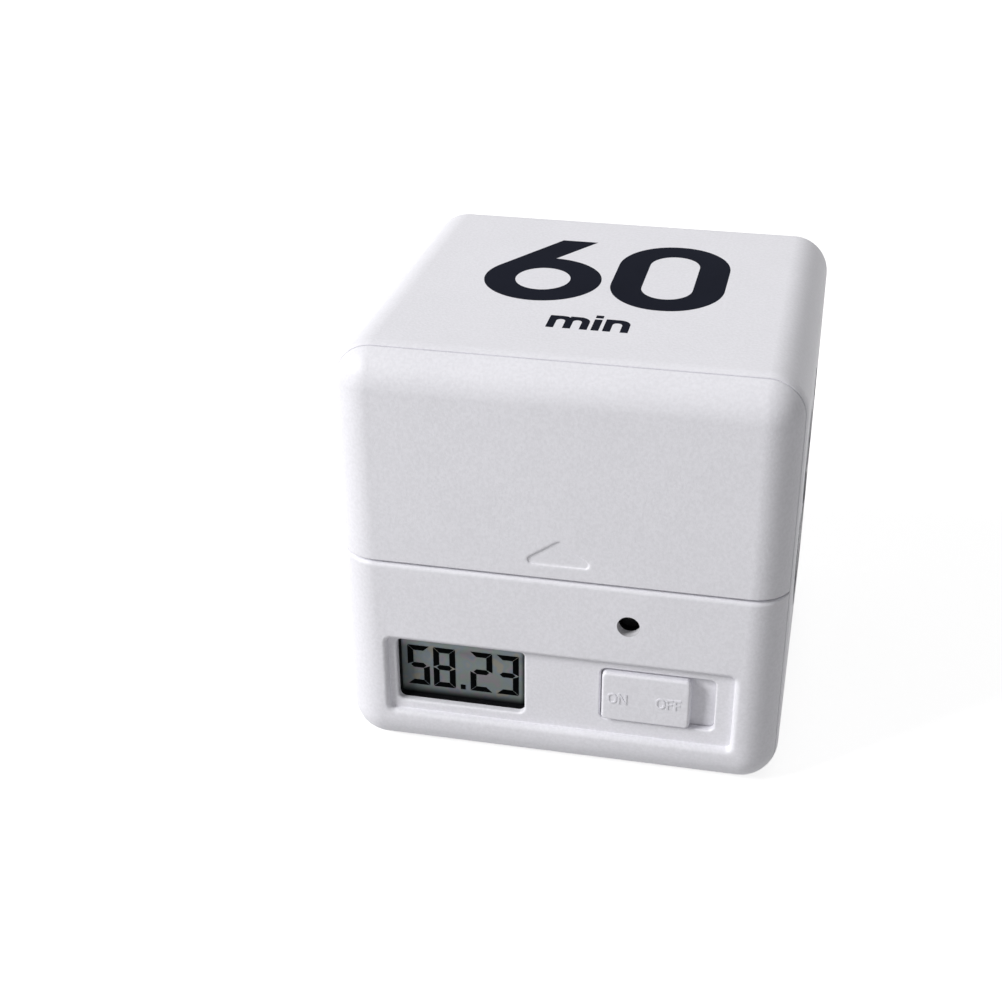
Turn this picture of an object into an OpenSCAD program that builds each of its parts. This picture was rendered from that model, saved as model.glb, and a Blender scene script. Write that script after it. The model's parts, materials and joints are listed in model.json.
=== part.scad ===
// Cube countdown timer. Each of four sides carries a time in minutes: turn the chosen
// side to the top and the timer counts that time down.
// X runs to the right as seen from the front, Y from the front to the back, Z up from
// the table. The origin is the middle of the face that the cube stands on.

/* [Case] */
// Width of the cube, left to right
cube_w = 60; // [60:1:80]
// Depth of the cube, front to back
cube_d = 60; // [56:1:80]
// Height of the cube
cube_h = 60; // [60:1:80]
// Radius of every outer edge and corner
edge_r = 5.2; // [4:0.1:6.5]
// Wall of the rear housing and the sides of the front housing
wall = 2; // [1.8:0.1:2.2]
// Front wall of the front housing
front_wall = 2; // [1.8:0.1:2.4]
// Wall of the battery door
door_wall = 1.5; // [1.2:0.1:1.6]
// Depth of the front cap, from the front face to the seam round the cube
cap_depth = 3.5; // [3.3:0.1:3.8]
// Height of the seam between the lower front and the battery door
door_seam_z = 30.3; // [29.5:0.1:31]
// Open width of a seam between two shells
seam_gap = 0.15; // [0.1:0.05:0.25]

/* [Display] */
// Width of the sunken panel on the lower front
panel_w = 47.6; // [44:0.1:48.5]
// Middle of the sunken panel, to the right of the cube's middle
panel_x = 0.1; // [0:0.1:0.3]
// Height of the sunken panel
panel_h = 11.9; // [11.3:0.1:12.5]
// Height of the panel's middle above the table
panel_z = 12.25; // [12:0.05:12.6]
// Depth of the sunken panel
panel_depth = 1; // [0.6:0.1:1.2]
// Width of the display window
window_w = 17.9; // [14:0.1:18]
// Height of the display window
window_h = 9.9; // [8:0.1:10]
// Middle of the display window, to the left of the cube's middle
window_x = -13.65; // [-13.75:0.05:-13.4]
// Height of the window's middle above the table
window_z = 12.6; // [12.5:0.05:12.9]
// Border of display glass hidden behind the panel on each side of the window
glass_border = 2.1; // [1.8:0.1:2.2]
// Thickness of each of the two display glasses
glass_t = 0.6; // [0.4:0.1:0.7]

/* [Power switch] */
// Width of the sliding knob
knob_w = 12; // [10:0.05:12.5]
// Height of the sliding knob
knob_h = 7.6; // [6.5:0.1:7.7]
// How far the knob slides from ON to OFF
switch_travel = 3; // [2:0.1:3.4]
// Middle of the knob in its ON position
knob_x = 12.05; // [11.5:0.05:12.3]
// Height of the knob's middle above the table
knob_z = 12.65; // [12.6:0.05:12.8]
// How far the knob stands out of the sunken panel
knob_proud = 0.65; // [0.3:0.05:0.9]

/* [Buzzer] */
// Diameter of the buzzer's case
buzzer_d = 9; // [7.5:0.1:9.6]
// Height of the buzzer's case
buzzer_h = 4.4; // [3.6:0.1:4.6]
// Middle of the sound hole, to the right of the cube's middle
buzzer_x = 9.43; // [9:0.01:10.5]
// Height of the sound hole above the table
buzzer_z = 24.35; // [24.2:0.05:24.6]
// Diameter of the sound hole in the front wall
sound_hole_d = 3; // [2:0.1:3.6]

/* [Batteries] */
// Diameter of one cell
cell_d = 10.5; // [8.5:0.1:10.5]
// Length of one cell, with its button
cell_l = 44.5; // [38:0.1:44.5]
// Wire of the battery springs
spring_wire = 0.6; // [0.4:0.1:0.7]

/* [Circuit board] */
// Distance from the inside of the front wall to the board
board_standoff = 5.8; // [5.6:0.1:6.2]
// Thickness of the board
board_t = 1.2; // [0.8:0.1:1.6]

/* [Tilt switches] */
// Diameter of a tilt switch's can
can_d = 5.2; // [4.3:0.1:6.3]
// Length of a tilt switch's can
can_l = 9; // [8:0.1:10]
// Clearance between the rolling ball and the can, all round
ball_play = 0.4; // [0.3:0.05:0.6]

/* [Screws] */
// Thread diameter of the two screws that join the housings
case_screw_d = 2; // [1.7:0.1:2.3]
// Length of their thread
case_screw_l = 9; // [7:0.5:12]
// Thread diameter of the screws that hold the board
board_screw_d = 1.6; // [1.4:0.1:1.8]

/* [Hidden] */

$fn = 48;
corner_fn = 32;        // sphere facets of the rounded shells
sides = [-1, 1];       // left and right
bite = 0.2;            // overlap of features that belong to one solid
slip = 0.3;            // clearance between pieces that pass each other
snug = 0.1;            // clearance between pieces that are set into each other
thread_fit = 0.06;     // a threaded hole over its screw
screw_play = 0.4;      // a plain hole over the screw that passes through it
pilot_extra = 1;       // depth of a threaded hole past its screw's tip

// Case
half_w = cube_w / 2;
front_y = -cube_d / 2;
back_y = cube_d / 2;
inner_r = edge_r - wall;
door_inner_r = edge_r - door_wall;
relief = 0.1;                         // depth of the pockets in the inside of the front wall
inner_w = half_w - wall;              // half of the clear width inside the walls
seam_y = front_y + cap_depth;
cap_back_y = seam_y - seam_gap / 2;
tub_front_y = seam_y + seam_gap / 2;
sill_z = door_seam_z - seam_gap / 2;  // upper edge of the lower front
door_z = door_seam_z + seam_gap / 2;  // lower edge of the door
inner_front_y = front_y + front_wall;
floor_y = front_y + panel_depth;      // outer face of the sunken panel
panel_r = 0.8;
window_r = 0.6;

// Lip, bulkhead and door guides of the front housing
lip_gap = 0.3;
lip_t = 1.2;
lip_reach = 1.6;                      // behind the seam
lip_root = 1;                         // in front of it, inside the cap
lip_w = 2 * (inner_w - lip_gap);
lip_h = cube_h - 2 * (wall + lip_gap);
lip_r = inner_r - lip_gap;
bulkhead_t = 1.5;
bulkhead_setback = 0.075;
bulkhead_y = tub_front_y + bulkhead_setback;  // front face of the plate behind the door
bulkhead_back_y = bulkhead_y + bulkhead_t;
sill_t = 1.25;
stem_t = 0.8;                         // stem of a door guide, along X
flange_reach = 0.8;                   // how far its flange reaches over the door's tongue
guide_flange_t = 0.7;
guide_gap = 0.2;
tongue_t = 0.62;
tongue_overlap = 0.6;
tongue_extra = 0.5;                   // above the guide's upper end
tongue_front_y = cap_back_y - tongue_t;
guide_back_y = tongue_front_y - guide_gap;
guide_front_y = guide_back_y - guide_flange_t;
guide_bevel = [1, 0.45];              // off the corner that faces the door's rounded inside
latch_w = 10;
latch_t = 1;
latch_y = inner_front_y + 0.2;        // clear of the inside of the front wall
latch_drop = 2;                       // how far the latch reaches below the seam
latch_root = [0.2, 2.2];              // its foot on the door's wall, above the door's edge
arrow_w = 8.8;
arrow_h = 3.7;
arrow_z = door_seam_z + 2.2;
arrow_depth = 0.3;
hook_x = 15;
hook_w = 8;
hook_reach = 7;
hook_t = 1;
hook_tooth = 0.9;
hook_tooth_l = 1.2;
tooth_y = cap_back_y + hook_reach - 2 * hook_tooth_l;

// Battery compartment
contact_t = 0.4;
spring_l = 3.0;                       // length of a battery spring pressed by its cell
cell_gap = 0.35;                      // above and below a cell
cell_recess = 0.25;                   // from the bulkhead's face to a cell
cell_pitch = cell_d + 0.6;
tray_wall = 1.2;
tray_floor = 1.5;
tray_play = 0.05;                     // round the contact plates
tray_half_w = (cell_l + spring_l + 2 * contact_t) / 2 + tray_play;
tray_z0 = door_seam_z + 3.3;
tray_z1 = tray_z0 + cell_pitch + cell_d + 2 * cell_gap;
cell_z = [for (i = [0, 1]) tray_z0 + cell_gap + cell_d / 2 + i * cell_pitch];
cell_y = bulkhead_y + cell_recess + cell_d / 2;
tray_floor_y = cell_y + cell_d / 2 + slip;
tray_back_y = tray_floor_y + tray_floor;
tray_mid_z = (tray_z0 + tray_z1) / 2;
guide_x = tray_half_w + 0.2;
guide_rise = 1.2;                     // from the door's lower edge to the guides
guide_z0 = door_z + guide_rise;
guide_z1 = cube_h - edge_r;            // the guides end below the door's rounded top
contact_w = cell_d - 1.6;             // width of a contact plate, along Z
tab_w = 2.5;
cell_button_d = 3.8;
cell_button_l = 1;
cell_bevel = 0.5;
button_bevel = 0.2;
rib_w = 1;                            // ribs in the door that hold the cells
rib_x = 10;
rib_clear = 0.25;                     // in front of the bulkhead, as the door slides
rib_end = 1;                          // from the upper cell's top to a rib's end

// Screws that join the housings, through the tray's floor
post_inset = 5.2;                     // from the tray's end wall to a post's axis
post_x = tray_half_w - post_inset;
post_d = 5.5;
post_web_t = 1.2;
post_web_y = tray_back_y + 7.8;
seat_h = 1;                           // raised seat behind the tray's floor
seat_d = 6;
case_head_d = case_screw_d * 1.9;
case_head_h = 1.5;
counterbore = 1;
post_y = tray_back_y + seat_h;
case_screw_y = tray_floor_y + counterbore;    // underside of the head

// Circuit board
board_y = inner_front_y + board_standoff;     // front face, with display and switch
board_back_y = board_y + board_t;
tab_y = board_back_y + 9.5;                   // ends of the battery contacts' solder tabs
board_half_w = inner_w - 1.8;
board_z0 = wall + 2;
board_z1 = door_seam_z - 0.3;
boss_d = 4.2;
board_holes = [
    [-(board_half_w - 2.6), board_z1 - 3.5],
    [board_half_w - 2.6, board_z1 - 3.5],
    [board_half_w - 2.3, board_z0 + 1.6],
    [0.9, board_z0 + 1.2]
];
board_head_d = board_screw_d * 1.9;
board_head_h = 1.1;
board_screw_l = 4;
cross_w = 0.4;                        // cross recess in every screw's head
cross_depth = 0.5;
lead_d = 0.6;                         // round leads of through-hole parts
lead_out = 0.8;                       // how far a lead stands out of the board
drill_play = 0.5;                     // a drilled hole in the board over its lead

// Components on the back of the board; each place is x and z
blob_place = [-3.5, 11.5];
blob_d = 9;
blob_h = 1.6;
crystal_place = [3, 12];
crystal_d = 2;
crystal_l = 6;
crystal_pitch = 0.7;
crystal_lead = 0.3;
crystal_lead_l = 0.8;
chip_l = 1.6;
chip_w = 0.8;
chip_pitch = 2.6;
resistor_t = 0.45;
resistor_row = [-7, 20.5];            // first of a row of upright chips
resistor_column = [7.5, 8];           // first of a row of chips that lie down
capacitor_row = [-9, 24];
capacitor_pair = [5.5, 16.5];
transistor_place = [8.6, 21.6];
transistor_size = [2.9, 1.3];
transistor_t = 1;
transistor_leg = [0.4, 0.7];
transistor_leg_t = 0.3;
capacitor_place = [2.5, 25];
capacitor_d = 4;
capacitor_h = 5.3;
capacitor_lead = 0.45;
capacitor_pitch = 1.8;

// Display, from the front backwards
gasket_t = 0.8;
gasket_cover = 0.15;                  // how far the gasket shows inside the window
gasket_rim = 1.3;
polarizer_t = 0.2;
film_inset = 0.4;                     // from the glass's edge to a film's
reflector_t = 0.25;
ledge = 2.4;                          // the front glass's contact edge
glass_w = window_w + 2 * glass_border;
glass_z0 = window_z - window_h / 2 - glass_border;
glass_top_border = 1.4;               // the upper border, below the contact edge
glass_z1 = window_z + window_h / 2 + glass_top_border;
gasket_back_y = inner_front_y + gasket_t;
front_glass_y = gasket_back_y + polarizer_t;
rear_glass_y = front_glass_y + glass_t;
reflector_y = rear_glass_y + glass_t;
display_back_y = reflector_y + reflector_t;
zebra_inset = 1;                      // from the glass's edge to the strip's end
holder_gap = 0.3;
holder_wall = 0.8;
holder_plate = 1;
holder_w = glass_w + 2 * (holder_gap + holder_wall);
holder_z0 = glass_z0 - holder_gap - holder_wall;
holder_z1 = glass_z1 + ledge + holder_gap + holder_wall;
holder_y = gasket_back_y;
holder_seat_y = display_back_y + snug; // where the display rests in the holder

// Power switch
knob_gap = 0.25;                      // between the knob and its slot at each end
slot_w = knob_w + switch_travel + 2 * knob_gap;
slot_play = 0.5;                      // the slot's height over the knob's
slot_h = knob_h + slot_play;
slot_x = knob_x + switch_travel / 2;
slot_r = 0.8;
knob_r = 0.7;
flange_t = 0.8;
flange_margin = 0.7;                  // cover beside the slot at both ends of the travel
flange_rise = 0.55;                   // cover above and below it
flange_w = slot_w + switch_travel + 2 * flange_margin;
flange_h = slot_h + 2 * flange_rise;
flange_play = 0.15;                   // between the flange and the front wall
flange_y = inner_front_y + flange_play;
flange_back_y = flange_y + flange_t;
lever_w = 2;
lever_h = 2.8;
lever_play = 0.2;
lever_socket = 0.9;                   // depth of the knob's socket in front of its flange
switch_w = 12.6;
switch_h = 5.6;
switch_base_t = 0.6;
switch_depth = 3.7;                   // from the board to the front of the cover
cover_t = 0.3;
carriage_w = 5;
carriage_h = 4;
carriage_t = 1.1;
switch_x = knob_x + switch_travel / 2;
cover_y = board_y - switch_depth;
switch_base_y = board_y - switch_base_t;
pin_pitch = 3;
pin_w = 0.6;
pin_t = 0.3;
pad_w = 1.6;                          // contact pads on the switch's base
pad_t = 0.25;
bridge_t = 0.2;                       // contact strip under the carriage, and its two feet
bridge_h = 0.8;
foot_w = 1;

// Buzzer
buzzer_wall = 0.5;
buzzer_y = board_y - buzzer_h;
buzzer_base_t = 0.6;
diaphragm_t = 0.15;
diaphragm_y = buzzer_y + 1.1;         // the sound chamber lies in front of it
striker_t = 0.3;                      // disc on the diaphragm's middle
magnet_t = 1.3;
magnet_h = 1.6;
core_d = 1.8;
coil_t = 1;
buzzer_floor_y = board_y - buzzer_base_t;
buzzer_pin_pitch = 5;
pin_head = 0.4;                       // of a pin, above the buzzer's base
buzzer_inner_d = buzzer_d - 2 * buzzer_wall - 2 * snug;  // what is set into the case
buzzer_port_d = 2;
gasket_inset = 0.5;                   // of the foam ring, from the case's edge and the hole's

// Tilt switches, one leaning to each side
tilt_x = 16;
tilt_z = 22;
tilt_angle = 45;
can_wall = 0.3;
can_bore = can_d - 2 * can_wall;
plug_l = 1.6;                         // base that closes the can's lower end
stub_l = 0.4;                         // contacts that stand out of the base
ball_gap = 0.15;
can_y = board_back_y + can_d / 2 + slip;
can_room = can_l - can_wall - plug_l; // clear length inside the can
ball_d = can_bore - 2 * ball_play;
ball_seat = -can_l / 2 + plug_l + stub_l + ball_gap + ball_d / 2;
ball_travel = can_room - stub_l - ball_d - 2 * ball_gap;
tilt_pin_pitch = 2;
tilt_pin_w = 0.5;
tilt_pin_reach = 1.2;                 // out of the can, before the bend towards the board

// Wires from the battery contacts to the board
wire_d = 1.1;
wire_bore = 0.7;                      // hole in the board for the bared end
// each point is x, y behind the board and z above the door's seam; the first is at a tab
tab_point = [for (z = cell_z) [tray_half_w - contact_t / 2, 10, z - door_seam_z]];
red_route = [tab_point[0], [24, 11, 7.2], [23, 11.4, 4.7], [20.5, 10.8, 1.7],
    [17, 8.5, -0.1], [15, 5.5, -1.1], [14.2, 2.5, -1.5], [14, 0.1, -1.7]];
black_route = [tab_point[1], [23.6, 11.2, 16.5], [23.4, 11.4, 14.7], [22, 11.6, 10.7],
    [19, 11.6, 5.7], [15.5, 10.5, 1.7], [12.8, 7.5, -0.3], [11.8, 4, -1.1],
    [11.5, 2, -1.5], [11.5, 0.1, -1.7]];
function laid(route) = [for (p = route) p + [0, board_back_y, door_seam_z]];

shell_white = [0.9, 0.9, 0.91];
black_plastic = [0.08, 0.08, 0.09];
steel = [0.75, 0.76, 0.78];

// ---- shapes that repeat ----

// Outline of a rectangle with round corners, centred
function rounded_rect(w, h, r, steps = 6) = [
    for (q = [0 : 3], i = [0 : steps])
        let (a = 90 * (q + i / steps),
             x = (q == 0 || q == 3) ? w / 2 - r : r - w / 2,
             z = q < 2 ? h / 2 - r : r - h / 2)
        [x + r * cos(a), z + r * sin(a)]
];

// Flat piece parallel to the front, from y0 back to y1
module plate(w, h, x, z, y0, y1, r = 0.5) {
    translate([x, y1, z]) rotate([90, 0, 0])
        linear_extrude(y1 - y0) polygon(rounded_rect(w, h, r));
}

// Span of a given width about its middle
function around(middle, width) = [middle - width / 2, middle + width / 2];

// Brick between two X, two Y and two Z values
module block(x, y, z) {
    translate([x[0], y[0], z[0]]) cube([x[1] - x[0], y[1] - y[0], z[1] - z[0]]);
}

// Round piece whose axis runs from the front to the back
module disc(d, x, z, y0, y1) {
    translate([x, y1, z]) rotate([90, 0, 0]) cylinder(d = d, h = y1 - y0);
}

module ring(d, bore, x, z, y0, y1) {
    difference() {
        disc(d, x, z, y0, y1);
        disc(bore, x, z, y0 - bite, y1 + bite);
    }
}

// Box with every edge rounded, between two corners
module rounded_box(low, high, r) {
    size = high - low;
    hull() {
        for (x = [low.x + r, high.x - r], y = [low.y + r, high.y - r], z = [low.z + r, high.z - r])
            translate([x, y, z]) sphere(r, $fn = corner_fn);
        translate(low + [0, r, r]) cube(size - [0, 2 * r, 2 * r]);
        translate(low + [r, 0, r]) cube(size - [2 * r, 0, 2 * r]);
        translate(low + [r, r, 0]) cube(size - [2 * r, 2 * r, 0]);
    }
}

module cube_form() {
    rounded_box([-half_w, front_y, 0], [half_w, back_y, cube_h], edge_r);
}

// Pan-head screw that points backwards or forwards, its head's underside at the origin
module screw(d, length, head_d, head_h) {
    rotate([-90, 0, 0]) difference() {
        union() {
            cylinder(d = d, h = length);
            translate([0, 0, -head_h]) cylinder(d = head_d, h = head_h);
        }
        for (a = [0, 90]) rotate(a)
            translate([-head_d / 3, -cross_w / 2, -head_h - bite])
                cube([head_d / 1.5, cross_w, cross_depth + bite]);
    }
}

// Tube of round section along a list of points, which never runs along X
function unit(v) = v / norm(v);
function direction(path, i) =
    unit(path[min(i + 1, len(path) - 1)] - path[max(i - 1, 0)]);

module tube(path, d, n = 8) {
    rings = [for (i = [0 : len(path) - 1])
        let (t = direction(path, i), u = unit(cross(t, [1, 0, 0])), w = cross(t, u))
        for (k = [0 : n - 1]) path[i] + d / 2 * (u * cos(360 * k / n) + w * sin(360 * k / n))];
    last = (len(path) - 1) * n;
    polyhedron(rings, concat(
        [[for (k = [0 : n - 1]) n - 1 - k]],
        [for (i = [0 : len(path) - 2], k = [0 : n - 1])
            for (face = [[0, 1, 3], [0, 3, 2]])
                [for (corner = face) (i + floor(corner / 2)) * n + (k + corner % 2) % n]],
        [[for (k = [0 : n - 1]) last + k]]));
}

// Points between the route's own points, on a smooth curve through them
function smooth(p, steps = 3) = [
    for (i = [0 : len(p) - 2], s = [0 : steps - 1])
        let (a = p[max(i - 1, 0)], b = p[i], c = p[i + 1], d = p[min(i + 2, len(p) - 1)], t = s / steps)
        b + t * (c - a) / 2 + t * t * (a - 2.5 * b + 2 * c - d / 2)
            + t * t * t * (-a + 3 * b - 3 * c + d) / 2,
    p[len(p) - 1]
];

// ---- case ----

module snap_hooks() {
    for (s = sides) {
        block(around(s * hook_x, hook_w), [cap_back_y - bite, cap_back_y + hook_reach],
            [wall + lip_gap, wall + lip_gap + hook_t]);
        block(around(s * hook_x, hook_w), [tooth_y, tooth_y + hook_tooth_l],
            [wall + lip_gap - hook_tooth, wall + lip_gap + bite]);
    }
}

module snap_pockets() {
    for (s = sides)
        block(around(s * hook_x, hook_w + 2 * slip), [tooth_y - slip, tooth_y + hook_tooth_l + slip],
            [wall + lip_gap - hook_tooth - slip, wall + bite]);
}

module rear_housing() {
    color(shell_white) difference() {
        union() {
            difference() {
                intersection() {
                    cube_form();
                    block([-cube_w, cube_w], [tub_front_y, cube_d], [-bite, cube_h + bite]);
                }
                rounded_box([-inner_w, front_y - cap_depth - edge_r, wall],
                    [inner_w, back_y - wall, cube_h - wall], inner_r);
            }
            for (s = sides) {
                disc(post_d, s * post_x, tray_mid_z, post_y, back_y - wall + bite);
                block(s > 0 ? [post_x, inner_w + bite] : [-inner_w - bite, -post_x],
                    [post_web_y, back_y - wall + bite], around(tray_mid_z, post_web_t));
            }
        }
        for (s = sides)
            disc(case_screw_d + thread_fit, s * post_x, tray_mid_z, post_y - bite,
                case_screw_y + case_screw_l + pilot_extra);
        snap_pockets();
    }
}

module lower_cap() {
    difference() {
        intersection() {
            cube_form();
            block([-cube_w, cube_w], [front_y - bite, cap_back_y], [-bite, sill_z]);
        }
        rounded_box([-inner_w, inner_front_y, wall], [inner_w, back_y, cube_h - wall], inner_r);
    }
    // lip that centres the cap in the rear housing
    difference() {
        plate(lip_w, lip_h, 0, cube_h / 2, cap_back_y - lip_root, cap_back_y + lip_reach, lip_r);
        plate(lip_w - 2 * lip_t, lip_h - 2 * lip_t, 0, cube_h / 2, front_y, back_y, lip_r - lip_t);
        block([-cube_w, cube_w], [front_y, back_y], [sill_z, cube_h]);
    }
}

module bulkhead() {
    // sill behind the upper edge of the lower front, and the plate behind the door
    block(around(0, lip_w), [inner_front_y - bite, bulkhead_back_y], [sill_z - sill_t, sill_z]);
    intersection() {
        plate(lip_w, lip_h, 0, cube_h / 2, bulkhead_y, bulkhead_back_y, lip_r);
        block([-cube_w, cube_w], [front_y, back_y], [sill_z - sill_t, cube_h]);
    }
    // guides for the door's tongues, bevelled to stay clear of the door's rounded inside
    guide_w = stem_t + flange_reach;
    for (s = sides) mirror([s < 0 ? 1 : 0, 0, 0]) translate([guide_x, 0, guide_z0])
        linear_extrude(guide_z1 - guide_z0)
            polygon([[0, guide_front_y], [guide_w - guide_bevel.x, guide_front_y],
                [guide_w, guide_front_y + guide_bevel.y], [guide_w, guide_back_y],
                [stem_t, guide_back_y], [stem_t, bulkhead_y + bite], [0, bulkhead_y + bite]]);
}

module battery_tray() {
    block([-tray_half_w - tray_wall, tray_half_w + tray_wall], [bulkhead_back_y - bite, tray_back_y],
        [tray_z0 - tray_wall, tray_z1 + tray_wall]);
    for (s = sides) disc(seat_d, s * post_x, tray_mid_z, tray_back_y - bite, post_y);
}

module front_housing() {
    color(shell_white) difference() {
        union() {
            lower_cap();
            bulkhead();
            battery_tray();
            snap_hooks();
            for (p = board_holes) disc(boss_d, p.x, p.y, inner_front_y - bite, board_y);
        }
        plate(panel_w, panel_h, panel_x, panel_z, front_y - bite, floor_y, panel_r);
        plate(window_w, window_h, window_x, window_z, front_y, inner_front_y + bite, window_r);
        plate(slot_w, slot_h, slot_x, knob_z, front_y, inner_front_y + bite, slot_r);
        disc(sound_hole_d, buzzer_x, buzzer_z, front_y - bite, inner_front_y + bite);
        disc(buzzer_d + 2 * slip, buzzer_x, buzzer_z, inner_front_y - relief, board_y);
        block(around(0, latch_w + 2 * slip), [inner_front_y - relief, bulkhead_y],
            [sill_z - sill_t - bite, sill_z + bite]);
        block([-tray_half_w, tray_half_w], [bulkhead_y - bite, tray_floor_y], [tray_z0, tray_z1]);
        for (s = sides) {
            disc(case_head_d + 2 * slip, s * post_x, tray_mid_z, tray_floor_y - bite, case_screw_y);
            disc(case_screw_d + screw_play, s * post_x, tray_mid_z, tray_floor_y, post_y + bite);
        }
        // slots for the solder tabs
        for (z = cell_z)
            block([tray_half_w - contact_t - snug, tray_half_w], [tray_floor_y - bite, tray_back_y + bite],
                around(z, tab_w + 2 * snug));
        for (p = board_holes)
            disc(board_screw_d + thread_fit, p.x, p.y, board_back_y - board_screw_l - pilot_extra,
                board_y + bite);
    }
}

module battery_door() {
    color(shell_white) difference() {
        union() {
            difference() {
                intersection() {
                    cube_form();
                    block([-cube_w, cube_w], [front_y - bite, cap_back_y], [door_z, cube_h + bite]);
                }
                rounded_box([-half_w + door_wall, front_y + door_wall, -cube_h],
                    [half_w - door_wall, back_y, cube_h - door_wall], door_inner_r);
            }
            // tongues that run behind the guides
            for (s = sides) mirror([s < 0 ? 1 : 0, 0, 0])
                block([guide_x + stem_t + flange_reach - tongue_overlap, inner_w],
                    [tongue_front_y, cap_back_y], [guide_z0, guide_z1 + tongue_extra]);
            // ribs that keep the cells in their tray
            for (s = sides)
                block(around(s * rib_x, rib_w), [front_y + door_wall - bite, bulkhead_y - rib_clear],
                    [tray_z0, tray_z1 - rib_end]);
            // latch behind the upper edge of the lower front
            block(around(0, latch_w), [front_y + door_wall - bite, latch_y + latch_t],
                [door_z + latch_root[0], door_z + latch_root[1]]);
            block(around(0, latch_w), [latch_y, latch_y + latch_t],
                [door_seam_z - latch_drop, door_z + latch_root[1] / 2]);
        }
        // arrow that shows which way the door slides
        translate([0, front_y + arrow_depth, arrow_z]) rotate([90, 0, 0])
            linear_extrude(arrow_depth + bite)
                polygon([[-arrow_w / 2, 0], [arrow_w / 2, 0], [0, arrow_h]]);
    }
}

// ---- display ----

module glass_plate(z0, z1, y0, t, inset = 0) {
    block(around(window_x, glass_w - 2 * inset), [y0, y0 + t], [z0 + inset, z1 - inset]);
}

module display_gasket() {
    color(black_plastic) difference() {
        plate(window_w + 2 * gasket_rim, window_h + 2 * gasket_rim, window_x, window_z,
            inner_front_y, gasket_back_y);
        plate(window_w - 2 * gasket_cover, window_h - 2 * gasket_cover, window_x, window_z,
            inner_front_y - bite, gasket_back_y + bite, window_r - gasket_cover);
    }
}

module display_polarizer() {
    color([0.45, 0.48, 0.48]) glass_plate(glass_z0, glass_z1, gasket_back_y, polarizer_t, film_inset);
}

module display_front_glass() {
    color([0.7, 0.75, 0.75]) glass_plate(glass_z0, glass_z1 + ledge, front_glass_y, glass_t);
}

module display_rear_glass() {
    color([0.7, 0.75, 0.75]) glass_plate(glass_z0, glass_z1, rear_glass_y, glass_t);
}

module display_reflector() {
    color([0.6, 0.62, 0.6]) glass_plate(glass_z0, glass_z1, reflector_y, reflector_t, film_inset);
}

module display_holder() {
    color(shell_white) difference() {
        block(around(window_x, holder_w), [holder_y, board_y], [holder_z0, holder_z1]);
        // pocket for the glass, hollow back, and a slot for the zebra strip
        glass_plate(glass_z0, glass_z1 + ledge, holder_y - bite, holder_seat_y - holder_y + bite,
            -holder_gap);
        glass_plate(glass_z0, glass_z1 - holder_plate, holder_seat_y + holder_plate,
            board_y - holder_seat_y - holder_plate + bite);
        glass_plate(glass_z1 + slip / 2, glass_z1 + ledge, holder_y, board_y - holder_y + bite);
    }
}

module zebra_strip() {
    color([0.3, 0.3, 0.32])
        block(around(window_x, glass_w - 2 * zebra_inset), [rear_glass_y, board_y],
            [glass_z1 + slip, glass_z1 + ledge - slip]);
}

// ---- circuit board ----

module board_hole(d, p) {
    disc(d, p.x, p.y, board_y - bite, board_back_y + bite);
}

module circuit_board() {
    color([0.1, 0.4, 0.2]) difference() {
        block([-board_half_w, board_half_w], [board_y, board_back_y], [board_z0, board_z1]);
        for (p = board_holes) board_hole(board_screw_d + screw_play, p);
        for (i = [-1 : 1]) board_hole(pin_w + drill_play, [switch_x + i * pin_pitch, knob_z]);
        for (s = sides) {
            board_hole(lead_d + drill_play, [buzzer_x + s * buzzer_pin_pitch / 2, buzzer_z]);
            for (k = sides) board_hole(tilt_pin_w + drill_play, tilt_pin_end(s, k));
        }
        for (r = [laid(red_route), laid(black_route)]) {
            end = r[len(r) - 1];
            board_hole(wire_bore, [end.x, end.z]);
        }
    }
}

// Resin cap over the processor, a quarter ellipse turned about its axis
module processor_blob() {
    color(black_plastic) translate([blob_place.x, board_back_y, blob_place.y]) rotate([-90, 0, 0])
        rotate_extrude() polygon(concat([[0, 0]],
            [for (a = [0 : 11.25 : 90]) [blob_d / 2 * cos(a), blob_h * sin(a)]]));
}

module crystal_can() {
    x = crystal_place.x;
    z = crystal_place.y;
    color(steel) {
        translate([x, board_back_y + crystal_d / 2 + snug, z]) cylinder(d = crystal_d, h = crystal_l);
        for (s = sides)
            block(around(x + s * crystal_pitch / 2, crystal_lead),
                [board_back_y, board_back_y + crystal_d / 2 + snug + crystal_lead / 2],
                [z - crystal_lead_l, z + snug]);
    }
}

// Small brick soldered to the back of the board, its middle at x and z
module chip(x, z, size, t) {
    block(around(x, size.x), [board_back_y, board_back_y + t], around(z, size.y));
}

module chip_resistors() {
    color([0.15, 0.15, 0.16]) {
        for (i = [0 : 3])
            chip(resistor_row.x + i * chip_pitch, resistor_row.y, [chip_w, chip_l], resistor_t);
        for (i = [0 : 1])
            chip(resistor_column.x, resistor_column.y + i * chip_pitch, [chip_l, chip_w], resistor_t);
    }
}

module chip_capacitors() {
    color([0.72, 0.6, 0.45]) {
        for (i = [0 : 2])
            chip(capacitor_row.x + i * chip_pitch, capacitor_row.y, [chip_l, chip_w], chip_w);
        for (i = [0 : 1])
            chip(capacitor_pair.x + i * chip_pitch, capacitor_pair.y, [chip_w, chip_l], chip_w);
    }
}

module driver_transistor() {
    x = transistor_place.x;
    z = transistor_place.y;
    leg_z = (transistor_size.y + transistor_leg.y) / 2 - snug;
    color(black_plastic) {
        chip(x, z, transistor_size, transistor_t);
        for (s = sides)
            chip(x + s * transistor_size.x / 3, z - leg_z, transistor_leg, transistor_leg_t);
        chip(x, z + leg_z, transistor_leg, transistor_leg_t);
    }
}

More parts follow.
